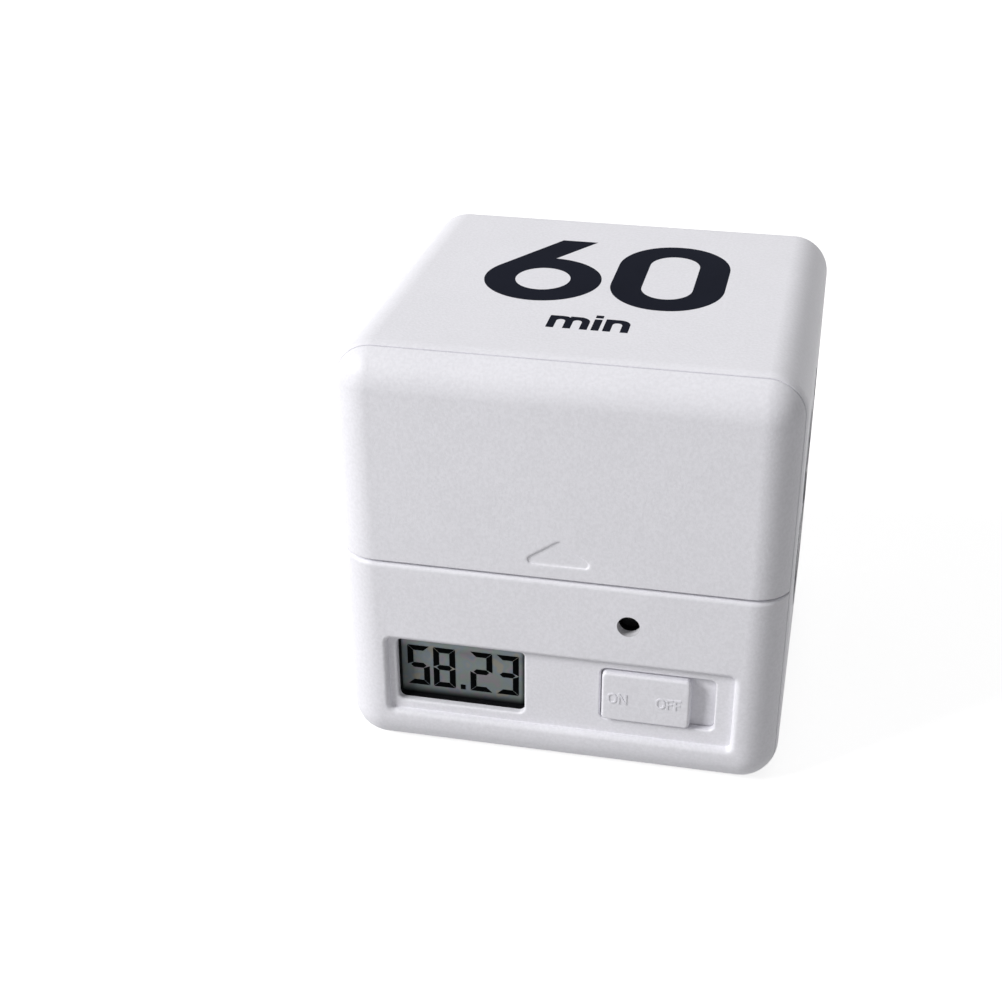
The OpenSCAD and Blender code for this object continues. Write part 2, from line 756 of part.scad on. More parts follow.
module filter_capacitor() {
    x = capacitor_place.x;
    z = capacitor_place.y;
    color([0.15, 0.2, 0.4]) disc(capacitor_d, x, z, board_back_y + slip, board_back_y + slip + capacitor_h);
    color(steel) for (s = sides)
        disc(capacitor_lead, x + s * capacitor_pitch / 2, z, board_back_y, board_back_y + slip + snug);
}

// ---- buzzer ----

module buzzer_case() {
    color(black_plastic) difference() {
        disc(buzzer_d, buzzer_x, buzzer_z, buzzer_y, board_y);
        disc(buzzer_d - 2 * buzzer_wall, buzzer_x, buzzer_z, buzzer_y + buzzer_wall, board_y + bite);
        disc(buzzer_port_d, buzzer_x, buzzer_z, buzzer_y - bite, board_y);
    }
}

module buzzer_base() {
    color([0.75, 0.7, 0.5]) difference() {
        disc(buzzer_inner_d, buzzer_x, buzzer_z, buzzer_floor_y, board_y);
        for (s = sides)
            disc(lead_d + 2 * snug, buzzer_x + s * buzzer_pin_pitch / 2, buzzer_z,
                buzzer_floor_y - bite, board_y + bite);
    }
}

module buzzer_diaphragm() {
    color(steel) {
        disc(buzzer_inner_d, buzzer_x, buzzer_z, diaphragm_y,
            diaphragm_y + diaphragm_t);
        disc(buzzer_port_d, buzzer_x, buzzer_z, diaphragm_y - striker_t,
            diaphragm_y + diaphragm_t / 2);
    }
}

module buzzer_magnet() {
    color([0.25, 0.25, 0.27])
        ring(buzzer_inner_d, buzzer_inner_d - 2 * magnet_t, buzzer_x, buzzer_z, diaphragm_y + diaphragm_t,
            diaphragm_y + diaphragm_t + magnet_h);
}

module buzzer_core() {
    color(steel)
        disc(core_d, buzzer_x, buzzer_z, diaphragm_y + diaphragm_t + slip, buzzer_floor_y);
}

module buzzer_coil() {
    color([0.7, 0.4, 0.2])
        ring(core_d + 2 * (snug + coil_t), core_d + 2 * snug, buzzer_x, buzzer_z,
            diaphragm_y + diaphragm_t + 2 * slip, buzzer_floor_y);
}

module buzzer_pins() {
    color(steel) for (s = sides)
        disc(lead_d, buzzer_x + s * buzzer_pin_pitch / 2, buzzer_z, buzzer_floor_y - pin_head,
            board_back_y + lead_out);
}

module buzzer_gasket() {
    color([0.2, 0.2, 0.2])
        ring(buzzer_d - 2 * gasket_inset, sound_hole_d + 2 * gasket_inset, buzzer_x, buzzer_z,
            inner_front_y - relief, buzzer_y);
}

// ---- power switch ----

module switch_knob() {
    color(shell_white) difference() {
        union() {
            plate(knob_w, knob_h, knob_x, knob_z, floor_y - knob_proud, flange_y + bite, knob_r);
            plate(flange_w, flange_h, knob_x, knob_z, flange_y, flange_back_y, knob_r);
        }
        block(around(knob_x, lever_w + 2 * lever_play), [flange_y - lever_socket, flange_back_y + bite],
            around(knob_z, lever_h + 2 * lever_play));
    }
}

module switch_cover() {
    color(steel) difference() {
        block(around(switch_x, switch_w), [cover_y, switch_base_y], around(knob_z, switch_h));
        block(around(switch_x, switch_w - 2 * cover_t), [cover_y + cover_t, board_y],
            around(knob_z, switch_h - 2 * cover_t));
        block(around(switch_x, lever_w + switch_travel + 2 * slip), [cover_y - bite, switch_base_y],
            around(knob_z, lever_h + 2 * slip));
    }
}

module switch_base() {
    color([0.45, 0.3, 0.15]) difference() {
        block(around(switch_x, switch_w), [switch_base_y, board_y], around(knob_z, switch_h));
        for (i = [-1 : 1])
            block(around(switch_x + i * pin_pitch, pin_w + 2 * snug), [switch_base_y - bite, board_y + bite],
                around(knob_z, pin_t + 2 * snug));
    }
}

module switch_lever() {
    carriage_y = cover_y + cover_t + snug;
    color(black_plastic) {
        block(around(knob_x, lever_w), [flange_y - lever_socket + slip, carriage_y + bite],
            around(knob_z, lever_h));
        block(around(knob_x, carriage_w), [carriage_y, carriage_y + carriage_t],
            around(knob_z, carriage_h));
    }
}

module switch_contact() {
    y = cover_y + cover_t + snug + carriage_t;
    color([0.8, 0.65, 0.35]) {
        block(around(knob_x, pin_pitch + foot_w), [y, y + bridge_t], around(knob_z, pad_w));
        for (s = sides)
            block(around(knob_x + s * pin_pitch / 2, foot_w), [y, y + bridge_h], around(knob_z, pad_w));
    }
}

module switch_pins() {
    color(steel) for (i = [-1 : 1]) {
        x = switch_x + i * pin_pitch;
        block(around(x, pad_w), [switch_base_y - pad_t, switch_base_y], around(knob_z, pad_w));
        block(around(x, pin_w), [switch_base_y - pad_t / 2, board_back_y + lead_out],
            around(knob_z, pin_t));
    }
}

// ---- tilt switches ----

// Puts a piece that lies along Z on the axis of one tilt switch, its low end inwards
module on_tilt_axis(s) {
    translate([s * tilt_x, can_y, tilt_z]) rotate([0, s * tilt_angle, 0]) children();
}

// Where a tilt switch's two leads go through the board, as x and z
function tilt_pin_end(s, k) =
    [s * tilt_x, tilt_z]
    - (can_l / 2 + tilt_pin_reach) * [s * sin(tilt_angle), cos(tilt_angle)]
    + k * tilt_pin_pitch / 2 * [cos(tilt_angle), -s * sin(tilt_angle)];

module tilt_cans() {
    color([0.8, 0.7, 0.4]) for (s = sides) on_tilt_axis(s) difference() {
        translate([0, 0, -can_l / 2]) cylinder(d = can_d, h = can_l);
        translate([0, 0, -can_l / 2 - bite]) cylinder(d = can_bore, h = can_l - can_wall + bite);
    }
}

module tilt_bases() {
    color(black_plastic) for (s = sides) on_tilt_axis(s) difference() {
        translate([0, 0, -can_l / 2]) cylinder(d = can_bore - 2 * snug, h = plug_l);
        for (k = sides) translate([k * tilt_pin_pitch / 2, 0, -can_l / 2 - bite])
            cylinder(d = tilt_pin_w * sqrt(2) + snug, h = plug_l + 2 * bite);
    }
}

module tilt_pins() {
    reach = can_l / 2 + tilt_pin_reach;
    color(steel) for (s = sides) {
        on_tilt_axis(s) for (k = sides)
            translate([k * tilt_pin_pitch / 2 - tilt_pin_w / 2, -tilt_pin_w / 2, -reach - tilt_pin_w / 2])
                cube([tilt_pin_w, tilt_pin_w, reach + tilt_pin_w / 2 - can_l / 2 + plug_l + stub_l]);
        for (k = sides) {
            p = tilt_pin_end(s, k);
            translate([p.x, can_y + tilt_pin_w / 2, p.y]) rotate([90, s * tilt_angle, 0])
                translate([-tilt_pin_w / 2, -tilt_pin_w / 2, 0])
                    cube([tilt_pin_w, tilt_pin_w, can_y + tilt_pin_w / 2 - board_y]);
        }
    }
}

module tilt_ball(s) {
    color([0.85, 0.75, 0.45]) on_tilt_axis(s) translate([0, 0, ball_seat]) sphere(d = ball_d);
}

// ---- batteries ----

// One cell along X, its button towards +X
module cell() {
    body_l = cell_l - cell_button_l;
    rim = cell_d / 2 - cell_bevel;
    button = cell_button_d / 2;
    rotate([0, 90, 0]) translate([0, 0, -cell_l / 2]) rotate_extrude()
        polygon([[0, 0], [rim, 0], [cell_d / 2, cell_bevel], [cell_d / 2, body_l - cell_bevel],
            [rim, body_l], [button, body_l], [button, cell_l - button_bevel],
            [button - button_bevel, cell_l], [0, cell_l]]);
}

cell_shift = spring_l / 2;   // each cell lies off the middle by half its spring

module battery_upper() {
    color([0.75, 0.6, 0.3]) translate([-cell_shift, cell_y, cell_z[1]]) mirror([1, 0, 0]) cell();
}

module battery_lower() {
    color([0.75, 0.6, 0.3]) translate([cell_shift, cell_y, cell_z[0]]) cell();
}

spring_turns = 3;
spring_play = 0.1;           // between a spring's tip and its cell
spring_steps = 14;           // points in one turn
spring_base_r = 3.4;
spring_tip_r = 2.2;
function spring_path(from_x, to_x, z) = [
    for (i = [0 : spring_turns * spring_steps])
        let (t = i / (spring_turns * spring_steps), a = 360 * i / spring_steps,
             r = spring_base_r + (spring_tip_r - spring_base_r) * t)
        [from_x + (to_x - from_x) * t, cell_y + r * cos(a), z + r * sin(a)]
];

module battery_springs() {
    plate_x = tray_half_w - contact_t;
    tip_x = plate_x - spring_l + spring_wire / 2 + spring_play;
    base_x = plate_x - spring_wire / 2 - spring_play / 4;
    color(steel) {
        tube(spring_path(base_x, tip_x, cell_z[1]), spring_wire);
        tube(spring_path(-base_x, -tip_x, cell_z[0]), spring_wire);
    }
}

// Contact plate against an end wall of the tray, with or without its solder tab
module contact_plate(s, z0, z1, tabs) {
    mirror([s < 0 ? 1 : 0, 0, 0]) {
        block([tray_half_w - contact_t, tray_half_w], [cell_y - contact_w / 2, tray_floor_y - tray_play],
            [z0, z1]);
        for (z = tabs)
            block([tray_half_w - contact_t, tray_half_w - tray_play], [tray_floor_y - bite, tab_y],
                around(z, tab_w));
    }
}

module series_contact() {
    color(steel) contact_plate(-1, cell_z[0] - contact_w / 2, cell_z[1] + contact_w / 2, []);
}

module positive_contact() {
    color(steel) contact_plate(1, cell_z[0] - contact_w / 2, cell_z[0] + contact_w / 2, [cell_z[0]]);
}

module negative_contact() {
    color(steel) contact_plate(1, cell_z[1] - contact_w / 2, cell_z[1] + contact_w / 2, [cell_z[1]]);
}

module wire_red() {
    color([0.75, 0.1, 0.1]) tube(smooth(laid(red_route)), wire_d);
}

module wire_black() {
    color(black_plastic) tube(smooth(laid(black_route)), wire_d);
}

// ---- screws ----

module case_screws() {
    color(steel) for (s = sides)
        translate([s * post_x, case_screw_y, tray_mid_z])
            screw(case_screw_d, case_screw_l, case_head_d, case_head_h);
}

module board_screws() {
    color(steel) for (p = board_holes)
        translate([p.x, board_back_y, p.y]) rotate([0, 0, 180])
            screw(board_screw_d, board_screw_l, board_head_d, board_head_h);
}

rear_housing();
front_housing();
battery_door();
display_gasket();
display_polarizer();
display_front_glass();
display_rear_glass();
display_reflector();
display_holder();
zebra_strip();
circuit_board();
processor_blob();
crystal_can();
chip_resistors();
chip_capacitors();
driver_transistor();
filter_capacitor();
buzzer_case();
buzzer_base();
buzzer_diaphragm();
buzzer_magnet();
buzzer_core();
buzzer_coil();
buzzer_pins();
buzzer_gasket();
switch_knob();
switch_cover();
switch_base();
switch_lever();
switch_contact();
switch_pins();
tilt_cans();
tilt_bases();
tilt_pins();
tilt_ball(-1);  // tilt_ball_left
tilt_ball(1);  // tilt_ball_right
battery_upper();
battery_lower();
battery_springs();
series_contact();
positive_contact();
negative_contact();
wire_red();
wire_black();
case_screws();
board_screws();
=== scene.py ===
"""Looks of a cube countdown timer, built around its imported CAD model.

The shells, the knob, the cells, the springs and every mark are surfaces worked out with numpy.
The other pieces keep their CAD shape and get a procedural finish. Sizes in the classes are
millimetres in the frame of the CAD model: X to the right, Y to the back, Z up.
"""

import json
import logging
import math
from collections.abc import Sequence
from dataclasses import dataclass, field
from enum import Enum

import bmesh
import bpy
import numpy as np
from mathutils import Euler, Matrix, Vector
from mathutils.geometry import delaunay_2d_cdt
from numpy.typing import NDArray


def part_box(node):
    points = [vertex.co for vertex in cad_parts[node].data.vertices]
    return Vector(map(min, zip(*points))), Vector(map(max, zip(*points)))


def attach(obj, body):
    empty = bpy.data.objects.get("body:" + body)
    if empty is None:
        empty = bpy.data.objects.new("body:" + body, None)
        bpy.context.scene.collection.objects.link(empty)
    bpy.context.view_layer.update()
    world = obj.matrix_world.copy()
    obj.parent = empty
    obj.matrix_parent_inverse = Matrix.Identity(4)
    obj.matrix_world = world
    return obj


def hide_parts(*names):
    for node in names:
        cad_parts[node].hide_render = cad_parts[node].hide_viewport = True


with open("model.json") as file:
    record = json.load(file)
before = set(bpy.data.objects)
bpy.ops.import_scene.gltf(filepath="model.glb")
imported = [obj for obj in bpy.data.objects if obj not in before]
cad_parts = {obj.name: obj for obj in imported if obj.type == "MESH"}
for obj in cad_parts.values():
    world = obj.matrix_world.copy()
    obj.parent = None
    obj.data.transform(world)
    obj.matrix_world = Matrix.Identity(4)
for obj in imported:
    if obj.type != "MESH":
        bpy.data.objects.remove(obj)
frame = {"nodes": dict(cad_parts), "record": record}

Array = NDArray[np.float64]
Span = tuple[float, float]
Point = tuple[float, float]
Triple = tuple[float, float, float]
Colour = Triple
Levels = tuple[float, float]
Socket = bpy.types.NodeSocket
Material = bpy.types.Material

LOG = logging.getLogger("timer")
MM = 0.001
WELD = 1e-6
SHARP = math.radians(38.0)
WHITE: Colour = (1.0, 1.0, 1.0)
SIDES = (-1, 1)


def node_box(node: str) -> tuple[Array, Array]:
    """Lowest and highest corners of a CAD node in millimetres."""
    low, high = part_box(node)
    return np.array(low) / MM, np.array(high) / MM


def about(middle: float, half: float) -> Span:
    """The span that reaches as far to both sides of a middle."""
    return middle - half, middle + half


# ---- outlines and profiles ----


def unit(angle: Array) -> Array:
    """Unit vectors (cos a, sin a) on a new last axis."""
    return np.stack([np.cos(angle), np.sin(angle)], axis=-1)


@dataclass(frozen=True)
class Outline:
    """A closed outline with round corners in a plane.

    Each corner is an arc about its own centre: point = centre + (radius + offset) * (cos a,
    sin a), where a turns from the corner's start angle to the next corner's.
    """

    centres: tuple[Point, ...]
    radii: tuple[float, ...]
    starts: tuple[float, ...]
    steps: int = 8

    def ring(self, offset: float = 0.0) -> Array:
        """Points of the outline, counter-clockwise.

        Args:
            offset: How far the outline is moved outwards.

        Returns:
            An array of shape (n, 2).
        """
        starts = np.array(self.starts)
        sweeps = np.append(starts[1:], starts[0] + 360.0) - starts
        turn = np.radians(starts[:, None] + sweeps[:, None] * np.linspace(0, 1, self.steps + 1))
        reach = (np.array(self.radii) + offset)[:, None, None]
        arcs = np.array(self.centres)[:, None, :] + reach * unit(turn)
        return arcs.reshape(-1, 2)


QUARTERS = (-90.0, 0.0, 90.0, 180.0)


def rectangle(x: Span, z: Span, radius: float | tuple[float, ...], steps: int = 8) -> Outline:
    """A rectangle with round corners.

    Args:
        x: Left and right.
        z: Bottom and top.
        radius: One radius, or four, from the lower right corner counter-clockwise.
        steps: Segments of each corner.

    Returns:
        The outline.
    """
    radii = radius if isinstance(radius, tuple) else (radius,) * 4
    corners = ((x[1], z[0], -1, 1), (x[1], z[1], -1, -1), (x[0], z[1], 1, -1), (x[0], z[0], 1, 1))
    centres = tuple((cx + sx * r, cz + sz * r) for (cx, cz, sx, sz), r in zip(corners, radii))
    return Outline(centres, radii, QUARTERS, steps)


def circle(x: float, z: float, radius: float, steps: int = 10) -> Outline:
    """A circle in four arcs."""
    return Outline(((x, z),) * 4, (radius,) * 4, QUARTERS, steps)


def triangle(corners: tuple[Point, Point, Point], radius: float, steps: int = 6) -> Outline:
    """A triangle with round corners.

    Args:
        corners: Centres of the corners' arcs, counter-clockwise.
        radius: Radius of the corners.
        steps: Segments of each corner.

    Returns:
        The outline, whose straight sides lie one radius outside the corner centres.
    """
    sides = np.roll(corners, -1, axis=0) - np.array(corners)
    normals = np.degrees(np.arctan2(-sides[:, 0], sides[:, 1]))
    starts = np.unwrap(np.roll(normals, 1), period=360.0)
    return Outline(corners, (radius,) * 3, tuple(float(a) for a in starts), steps)


def bend(before: Point, corner: Point, after: Point, steps: int = 5) -> Array:
    """A quarter ellipse that turns a profile's corner.

    The points are corner + (before - corner)(1 - sin t) + (after - corner)(1 - cos t) for t
    from 0 to a quarter turn.

    Args:
        before: Where the bend leaves the first side.
        corner: Where the two sides would meet.
        after: Where the bend joins the second side.
        steps: Segments of the bend.

    Returns:
        An array of shape (steps + 1, 2).
    """
    t = np.linspace(0, math.pi / 2, steps + 1)[:, None]
    a, c, b = (np.array(p) for p in (before, corner, after))
    return c + (a - c) * (1 - np.sin(t)) + (b - c) * (1 - np.cos(t))


def brim(y: float, radius: float, steps: int = 3) -> Array:
    """Round from the face at y back along a wall; a negative radius is a boss's, not a hole's."""
    return bend((radius, y), (0, y), (0, y + abs(radius)), steps)


def foot(y: float, radius: float, steps: int = 3) -> Array:
    """Round from a wall into the face at y that closes it."""
    return bend((0, y - radius), (0, y), (-radius, y), steps)


@dataclass(frozen=True)
class Plane:
    """A plane in space that carries flat shapes: point = origin + u right + v up + h out."""

    origin: Triple
    right: Triple
    up: Triple
    out: Triple

    def at(self, points: Array, height: float = 0.0) -> Array:
        """Points of the plane in space.

        Args:
            points: An array of shape (n, 2).
            height: Distance from the plane, along out.

        Returns:
            An array of shape (n, 3).
        """
        flat = points[:, :1] * np.array(self.right) + points[:, 1:2] * np.array(self.up)
        return np.array(self.origin) + flat + height * np.array(self.out)


FRONT = Plane((0, 0, 0), (1, 0, 0), (0, 0, 1), (0, 1, 0))
LEVEL = Plane((0, 0, 0), (1, 0, 0), (0, 1, 0), (0, 0, 1))
ACROSS = Plane((0, 0, 0), (0, 1, 0), (0, 0, 1), (1, 0, 0))


def inside(points: Array, loop: Array) -> NDArray[np.bool_]:
    """Which points lie in a loop, by counting the sides to the right of each.

    Args:
        points: An array of shape (n, 2).
        loop: Corners of the loop, of shape (m, 2).

    Returns:
        A mask of shape (n,).
    """
    a, b = loop, np.roll(loop, -1, axis=0)
    px, py = points[:, :1], points[:, 1:2]
    spans = (a[:, 1] > py) != (b[:, 1] > py)
    rise = np.where(a[:, 1] == b[:, 1], 1.0, b[:, 1] - a[:, 1])
    cross = a[:, 0] + (b[:, 0] - a[:, 0]) * (py - a[:, 1]) / rise
    return (spans & (px < cross)).sum(axis=1) % 2 == 1


def anticlockwise(loop: Array) -> Array:
    """The loop, turned round if its signed area is negative.

    Args:
        loop: Corners of the loop, of shape (n, 2).

    Returns:
        The loop, counter-clockwise.
    """
    after = np.roll(loop, -1, axis=0)
    area = (loop[:, 0] * after[:, 1] - after[:, 0] * loop[:, 1]).sum()
    return loop if area > 0 else loop[::-1]


# ---- skins ----


def close_mesh(mesh: bpy.types.Mesh) -> None:
    """Merges doubles, fills what is left open and turns every face outwards.

    Args:
        mesh: The mesh, changed in place.
    """
    work = bmesh.new()
    work.from_mesh(mesh)
    bmesh.ops.remove_doubles(work, verts=work.verts, dist=WELD)
    bmesh.ops.dissolve_degenerate(work, edges=work.edges, dist=WELD)
    bmesh.ops.holes_fill(work, edges=[e for e in work.edges if e.is_boundary], sides=0)
    bmesh.ops.recalc_face_normals(work, faces=work.faces)
    work.to_mesh(mesh)
    work.free()


class Skin:
    """The surface of one piece: grids and flat faces that are welded into closed shells."""

    def __init__(self) -> None:
        """Starts an empty skin, whose faces go to material zone 0."""
        self._points: list[Array] = []
        self._faces: list[list[int]] = []
        self._zones: list[int] = []
        self._count = 0
        self.zone = 0

    def add(self, points: Array, faces: list[list[int]]) -> None:
        """Adds faces over new points.

        Args:
            points: An array of shape (n, 3).
            faces: Indices into the points.
        """
        self._faces += [[self._count + i for i in face] for face in faces]
        self._zones += [self.zone] * len(faces)
        self._points.append(points)
        self._count += len(points)

    def loft(self, rings: Array, closed: bool = True) -> None:
        """Quads between each ring and the next.

        Args:
            rings: An array of shape (rings, points, 3).
            closed: Whether the last point of a ring joins its first.
        """
        rows, cols = rings.shape[:2]
        i, j = np.meshgrid(np.arange(rows - 1), np.arange(cols - (not closed)), indexing="ij")
        k = (j + 1) % cols
        quads = [i * cols + j, i * cols + k, (i + 1) * cols + k, (i + 1) * cols + j]
        self.add(rings.reshape(-1, 3), np.stack(quads, axis=-1).reshape(-1, 4).tolist())

    def sweep(self, outline: Outline, *profile: Array | Point) -> None:
        """The walls that a profile makes when it is carried round an outline.

        Args:
            outline: The path, parallel to the front.
            profile: Pairs of outward offset and Y, one by one or in arrays.
        """
        pairs = np.concatenate([np.atleast_2d(part) for part in profile])
        self.loft(np.stack([FRONT.at(outline.ring(offset), y) for offset, y in pairs]))

    def well(self, outline: Outline, mouth: float, floor: float) -> None:
        """The straight walls between two Y values and the face at the second."""
        self.sweep(outline, (0, mouth), (0, floor))
        self.flat([outline.ring()], floor)

    def flat(self, loops: Sequence[Array], height: float, holes: Sequence[Array] = (),
             plane: Plane = FRONT) -> Array:
        """A flat face: the union of some loops less some holes, in triangles.

        Args:
            loops: Outlines of what is covered.
            height: Distance of the face from the plane.
            holes: Outlines of what is left open.
            plane: The plane that the loops are drawn in.

        Returns:
            The face's border as pairs of points, of shape (sides, 2, 2).
        """
        rings = [anticlockwise(loop) for loop in (*loops, *holes)]
        starts = np.cumsum([0] + [len(ring) for ring in rings])
        indices = [list(range(a, b)) for a, b in zip(starts[:-1], starts[1:])]
        sides = [(i, j) for loop in indices for i, j in zip(loop, loop[1:] + loop[:1])]
        corners = [Vector(p) for p in np.concatenate(rings)]
        points, _, faces, *_ = delaunay_2d_cdt(corners, sides, indices[: len(loops)], 1, WELD)
        plan = np.array([tuple(p) for p in points])
        cells = np.array(faces)
        middles = plan[cells].mean(axis=1)
        for hole in holes:
            keep = ~inside(middles, hole)
            cells, middles = cells[keep], middles[keep]
        self.add(plane.at(plan, height), cells.tolist())
        pairs = np.sort(np.concatenate([cells[:, [0, 1]], cells[:, [1, 2]], cells[:, [2, 0]]]), axis=1)
        edges, uses = np.unique(pairs, axis=0, return_counts=True)
        return plan[edges[uses == 1]]

    def slab(self, loops: Sequence[Array], heights: Span, holes: Sequence[Array] = (),
             plane: Plane = FRONT) -> None:
        """A flat piece of even thickness: two flat faces and the walls along their border.

        Args:
            loops: Outlines of what is covered.
            heights: Distances of the two faces from the plane.
            holes: Outlines of what is left open.
            plane: The plane that the loops are drawn in.
        """
        border = [self.flat(loops, height, holes, plane) for height in heights][-1]
        points = [plane.at(border[:, k], h) for h in heights for k in (0, 1)]
        i, count = np.arange(len(border)), len(border)
        walls = np.stack([i, i + count, i + 3 * count, i + 2 * count], axis=-1)
        self.add(np.concatenate(points), walls.tolist())

    def prism(self, loop: Array, heights: Span, plane: Plane = LEVEL) -> None:
        """A solid with straight walls between two copies of one loop.

        Args:
            loop: The outline, of shape (n, 2).
            heights: Distances of the two ends from the plane.
            plane: The plane that the loop is drawn in.
        """
        rings = np.stack([plane.at(loop, h) for h in heights])
        self.loft(rings)
        n = len(loop)
        self.add(rings.reshape(-1, 3), [list(range(n)), list(range(n, 2 * n))])

    def brick(self, x: Span, y: Span, z: Span) -> None:
        """A box between two X, two Y and two Z values."""
        self.prism(np.array([(x[0], y[0]), (x[1], y[0]), (x[1], y[1]), (x[0], y[1])]), z)

    def piece(self, name: str, finishes: Sequence[Material], edge: float) -> bpy.types.Object:
        """Welds the skin into a mesh object.

        Args:
            name: Name of the object.
            finishes: Materials of zone 0, zone 1 and so on.
            edge: Width of the bevel on sharp edges, or 0 for none.

        Returns:
            The object, at the origin.
        """
        mesh = bpy.data.meshes.new(name)
        mesh.from_pydata((np.concatenate(self._points) * MM).tolist(), [], self._faces)
        mesh.polygons.foreach_set("material_index", self._zones)
        for finish in finishes:
            mesh.materials.append(finish)
        close_mesh(mesh)
        mesh.polygons.foreach_set("use_smooth", [True] * len(mesh.polygons))
        mesh.set_sharp_from_angle(angle=SHARP)
        piece = bpy.data.objects.new(name, mesh)
        bpy.context.scene.collection.objects.link(piece)
        if edge:
            bevel = piece.modifiers.new("edges", "BEVEL")
            bevel.width = edge * MM
            bevel.segments = 2
            bevel.limit_method = "ANGLE"
            bevel.angle_limit = SHARP
        piece.modifiers.new("normals", "WEIGHTED_NORMAL").keep_sharp = True
        return piece


# ---- finishes ----

MIDDLE: Span = (0.3, 0.7)


class Graph:
    """A node tree and the sums that looks are made of."""

    def __init__(self, tree: bpy.types.NodeTree) -> None:
        """Takes the tree."""
        self.tree = tree

    def put(self, target: Socket, value: Socket | float | Triple) -> None:
        """Links a socket to another one, or sets its constant.

        Args:
            target: The socket that takes the value.
            value: Another socket, a number or a colour.
        """
        if isinstance(value, bpy.types.NodeSocket):
            self.tree.links.new(value, target)
        else:
            target.default_value = (*value, 1.0) if target.type == "RGBA" else value

    def node(self, kind: str, inputs: dict[str | int, Socket | float | Triple],
             **settings: str | float) -> bpy.types.Node:
        """Adds a node.

        Args:
            kind: Its type, without the common prefix.
            inputs: What its sockets are linked to or set to.
            settings: Its properties.

        Returns:
            The node.
        """
        node = self.tree.nodes.new("ShaderNode" + kind)
        for name, value in settings.items():
            setattr(node, name, value)
        for name, value in inputs.items():
            self.put(node.inputs[name], value)
        return node

    def combine(self, operation: str, *values: Socket | float) -> Socket:
        """A sum, product or other operation of up to three values."""
        return self.node("Math", dict(enumerate(values)), operation=operation).outputs["Value"]

    def span(self, value: Socket, source: Span, target: Levels) -> Socket:
        """A value carried from one span to another, with soft ends.

        Args:
            value: The driving value.
            source: Values at which the change starts and ends.
            target: Results there.

        Returns:
            The result.
        """
        names = ("From Min", "From Max", "To Min", "To Max")
        inputs = {"Value": value, **dict(zip(names, (*source, *target)))}
        return self.node("MapRange", inputs, interpolation_type="SMOOTHSTEP").outputs["Result"]

    def seen(self) -> Socket:
        """1 where the camera looks, straight or by a glossy reflection, and else 0."""
        path = self.node("LightPath", {}).outputs
        return self.combine("MAXIMUM", path["Is Camera Ray"], path["Is Glossy Ray"])


class Shader(Graph):
    """The node tree of one material, with a Principled shader on its output."""

    def __init__(self, name: str) -> None:
        """Makes the material.

        Args:
            name: Name of the material.
        """
        self.material = bpy.data.materials.new(name)
        self.material.use_nodes = True
        super().__init__(self.material.node_tree)
        self.tree.nodes.clear()
        self.shader = self.node("BsdfPrincipled", {})
        self.node("OutputMaterial", {"Surface": self.shader.outputs["BSDF"]})
        self.place = self.node("TexCoord", {}).outputs["Object"]

    def done(self, **values: Socket | float | Colour) -> Material:
        """Links or sets sockets of the shader, named with underscores, and gives the material.

        Args:
            values: What the sockets take, by name.

        Returns:
            The material.
        """
        for name, value in values.items():
            self.put(self.shader.inputs[name.replace("_", " ")], value)
        return self.material

    def stretched(self, scale: Triple) -> Socket:
        """Object coordinates, scaled along each axis."""
        return self.node("Mapping", {"Vector": self.place, "Scale": scale}).outputs["Vector"]

    def noise(self, size: float, detail: float = 2.0, place: Socket | None = None) -> Socket:
        """Soft noise about 0.5.

        Args:
            size: Size of its features in millimetres.
            detail: Octaves of finer noise.
            place: Coordinates, or None for Object coordinates.

        Returns:
            The noise.
        """
        inputs = {"Vector": place or self.place, "Scale": 1.0 / (size * MM), "Detail": detail}
        return self.node("TexNoise", inputs).outputs["Fac"]

    def ramp(self, factor: Socket, stops: Sequence[tuple[float, Colour]]) -> Socket:
        """Colours along a factor.

        Args:
            factor: The driving value.
            stops: Positions and colours, in order.

        Returns:
            The colour.
        """
        ramp = self.node("ValToRGB", {"Fac": factor})
        points = ramp.color_ramp.elements
        for _ in stops[2:]:
            points.new(1.0)
        for point, (position, colour) in zip(points, stops):
            point.position = position
            point.color = (*colour, 1.0)
        return ramp.outputs["Color"]

    def shades(self, factor: Socket, colour: Colour, levels: Levels, ends: Span = MIDDLE) -> Socket:
        """One colour in two shades between two places of a factor."""
        return self.ramp(factor, [(end, shade(colour, level)) for end, level in zip(ends, levels)])

    def blend(self, factor: Socket, a: Socket | Colour, b: Socket | Colour) -> Socket:
        """Two colours, mixed by a factor.

        Args:
            factor: Share of the second colour.
            a: The first colour.
            b: The second colour.

        Returns:
            The mixed colour.
        """
        node = self.node("Mix", {"Factor": factor}, data_type="RGBA")
        colours = {socket.name: socket for socket in node.inputs if socket.type == "RGBA"}
        self.put(colours["A"], a)
        self.put(colours["B"], b)
        return next(socket for socket in node.outputs if socket.type == "RGBA")

    def scaled(self, colour: Socket, factor: Socket) -> Socket:
        """A colour made darker or lighter by a factor."""
        inputs = {0: colour, "Scale": factor}
        return self.node("VectorMath", inputs, operation="SCALE").outputs["Vector"]

    def axis(self, index: int) -> Socket:
        """One Object coordinate, in metres."""
        return self.node("SeparateXYZ", {"Vector": self.place}).outputs[index]

    def bump(self, height: Socket, depth: float) -> Socket:
        """Normals of a relief from a height of 0 to 1 and its depth in millimetres."""
        inputs = {"Strength": 1.0, "Distance": depth * MM, "Height": height}
        return self.node("Bump", inputs).outputs["Normal"]


def shade(colour: Colour, factor: float) -> Colour:
    """A colour made lighter or darker, at most white."""
    return tuple(min(1.0, c * factor) for c in colour)


PLASTIC_IOR = 1.5
GLASS_IOR = 1.52


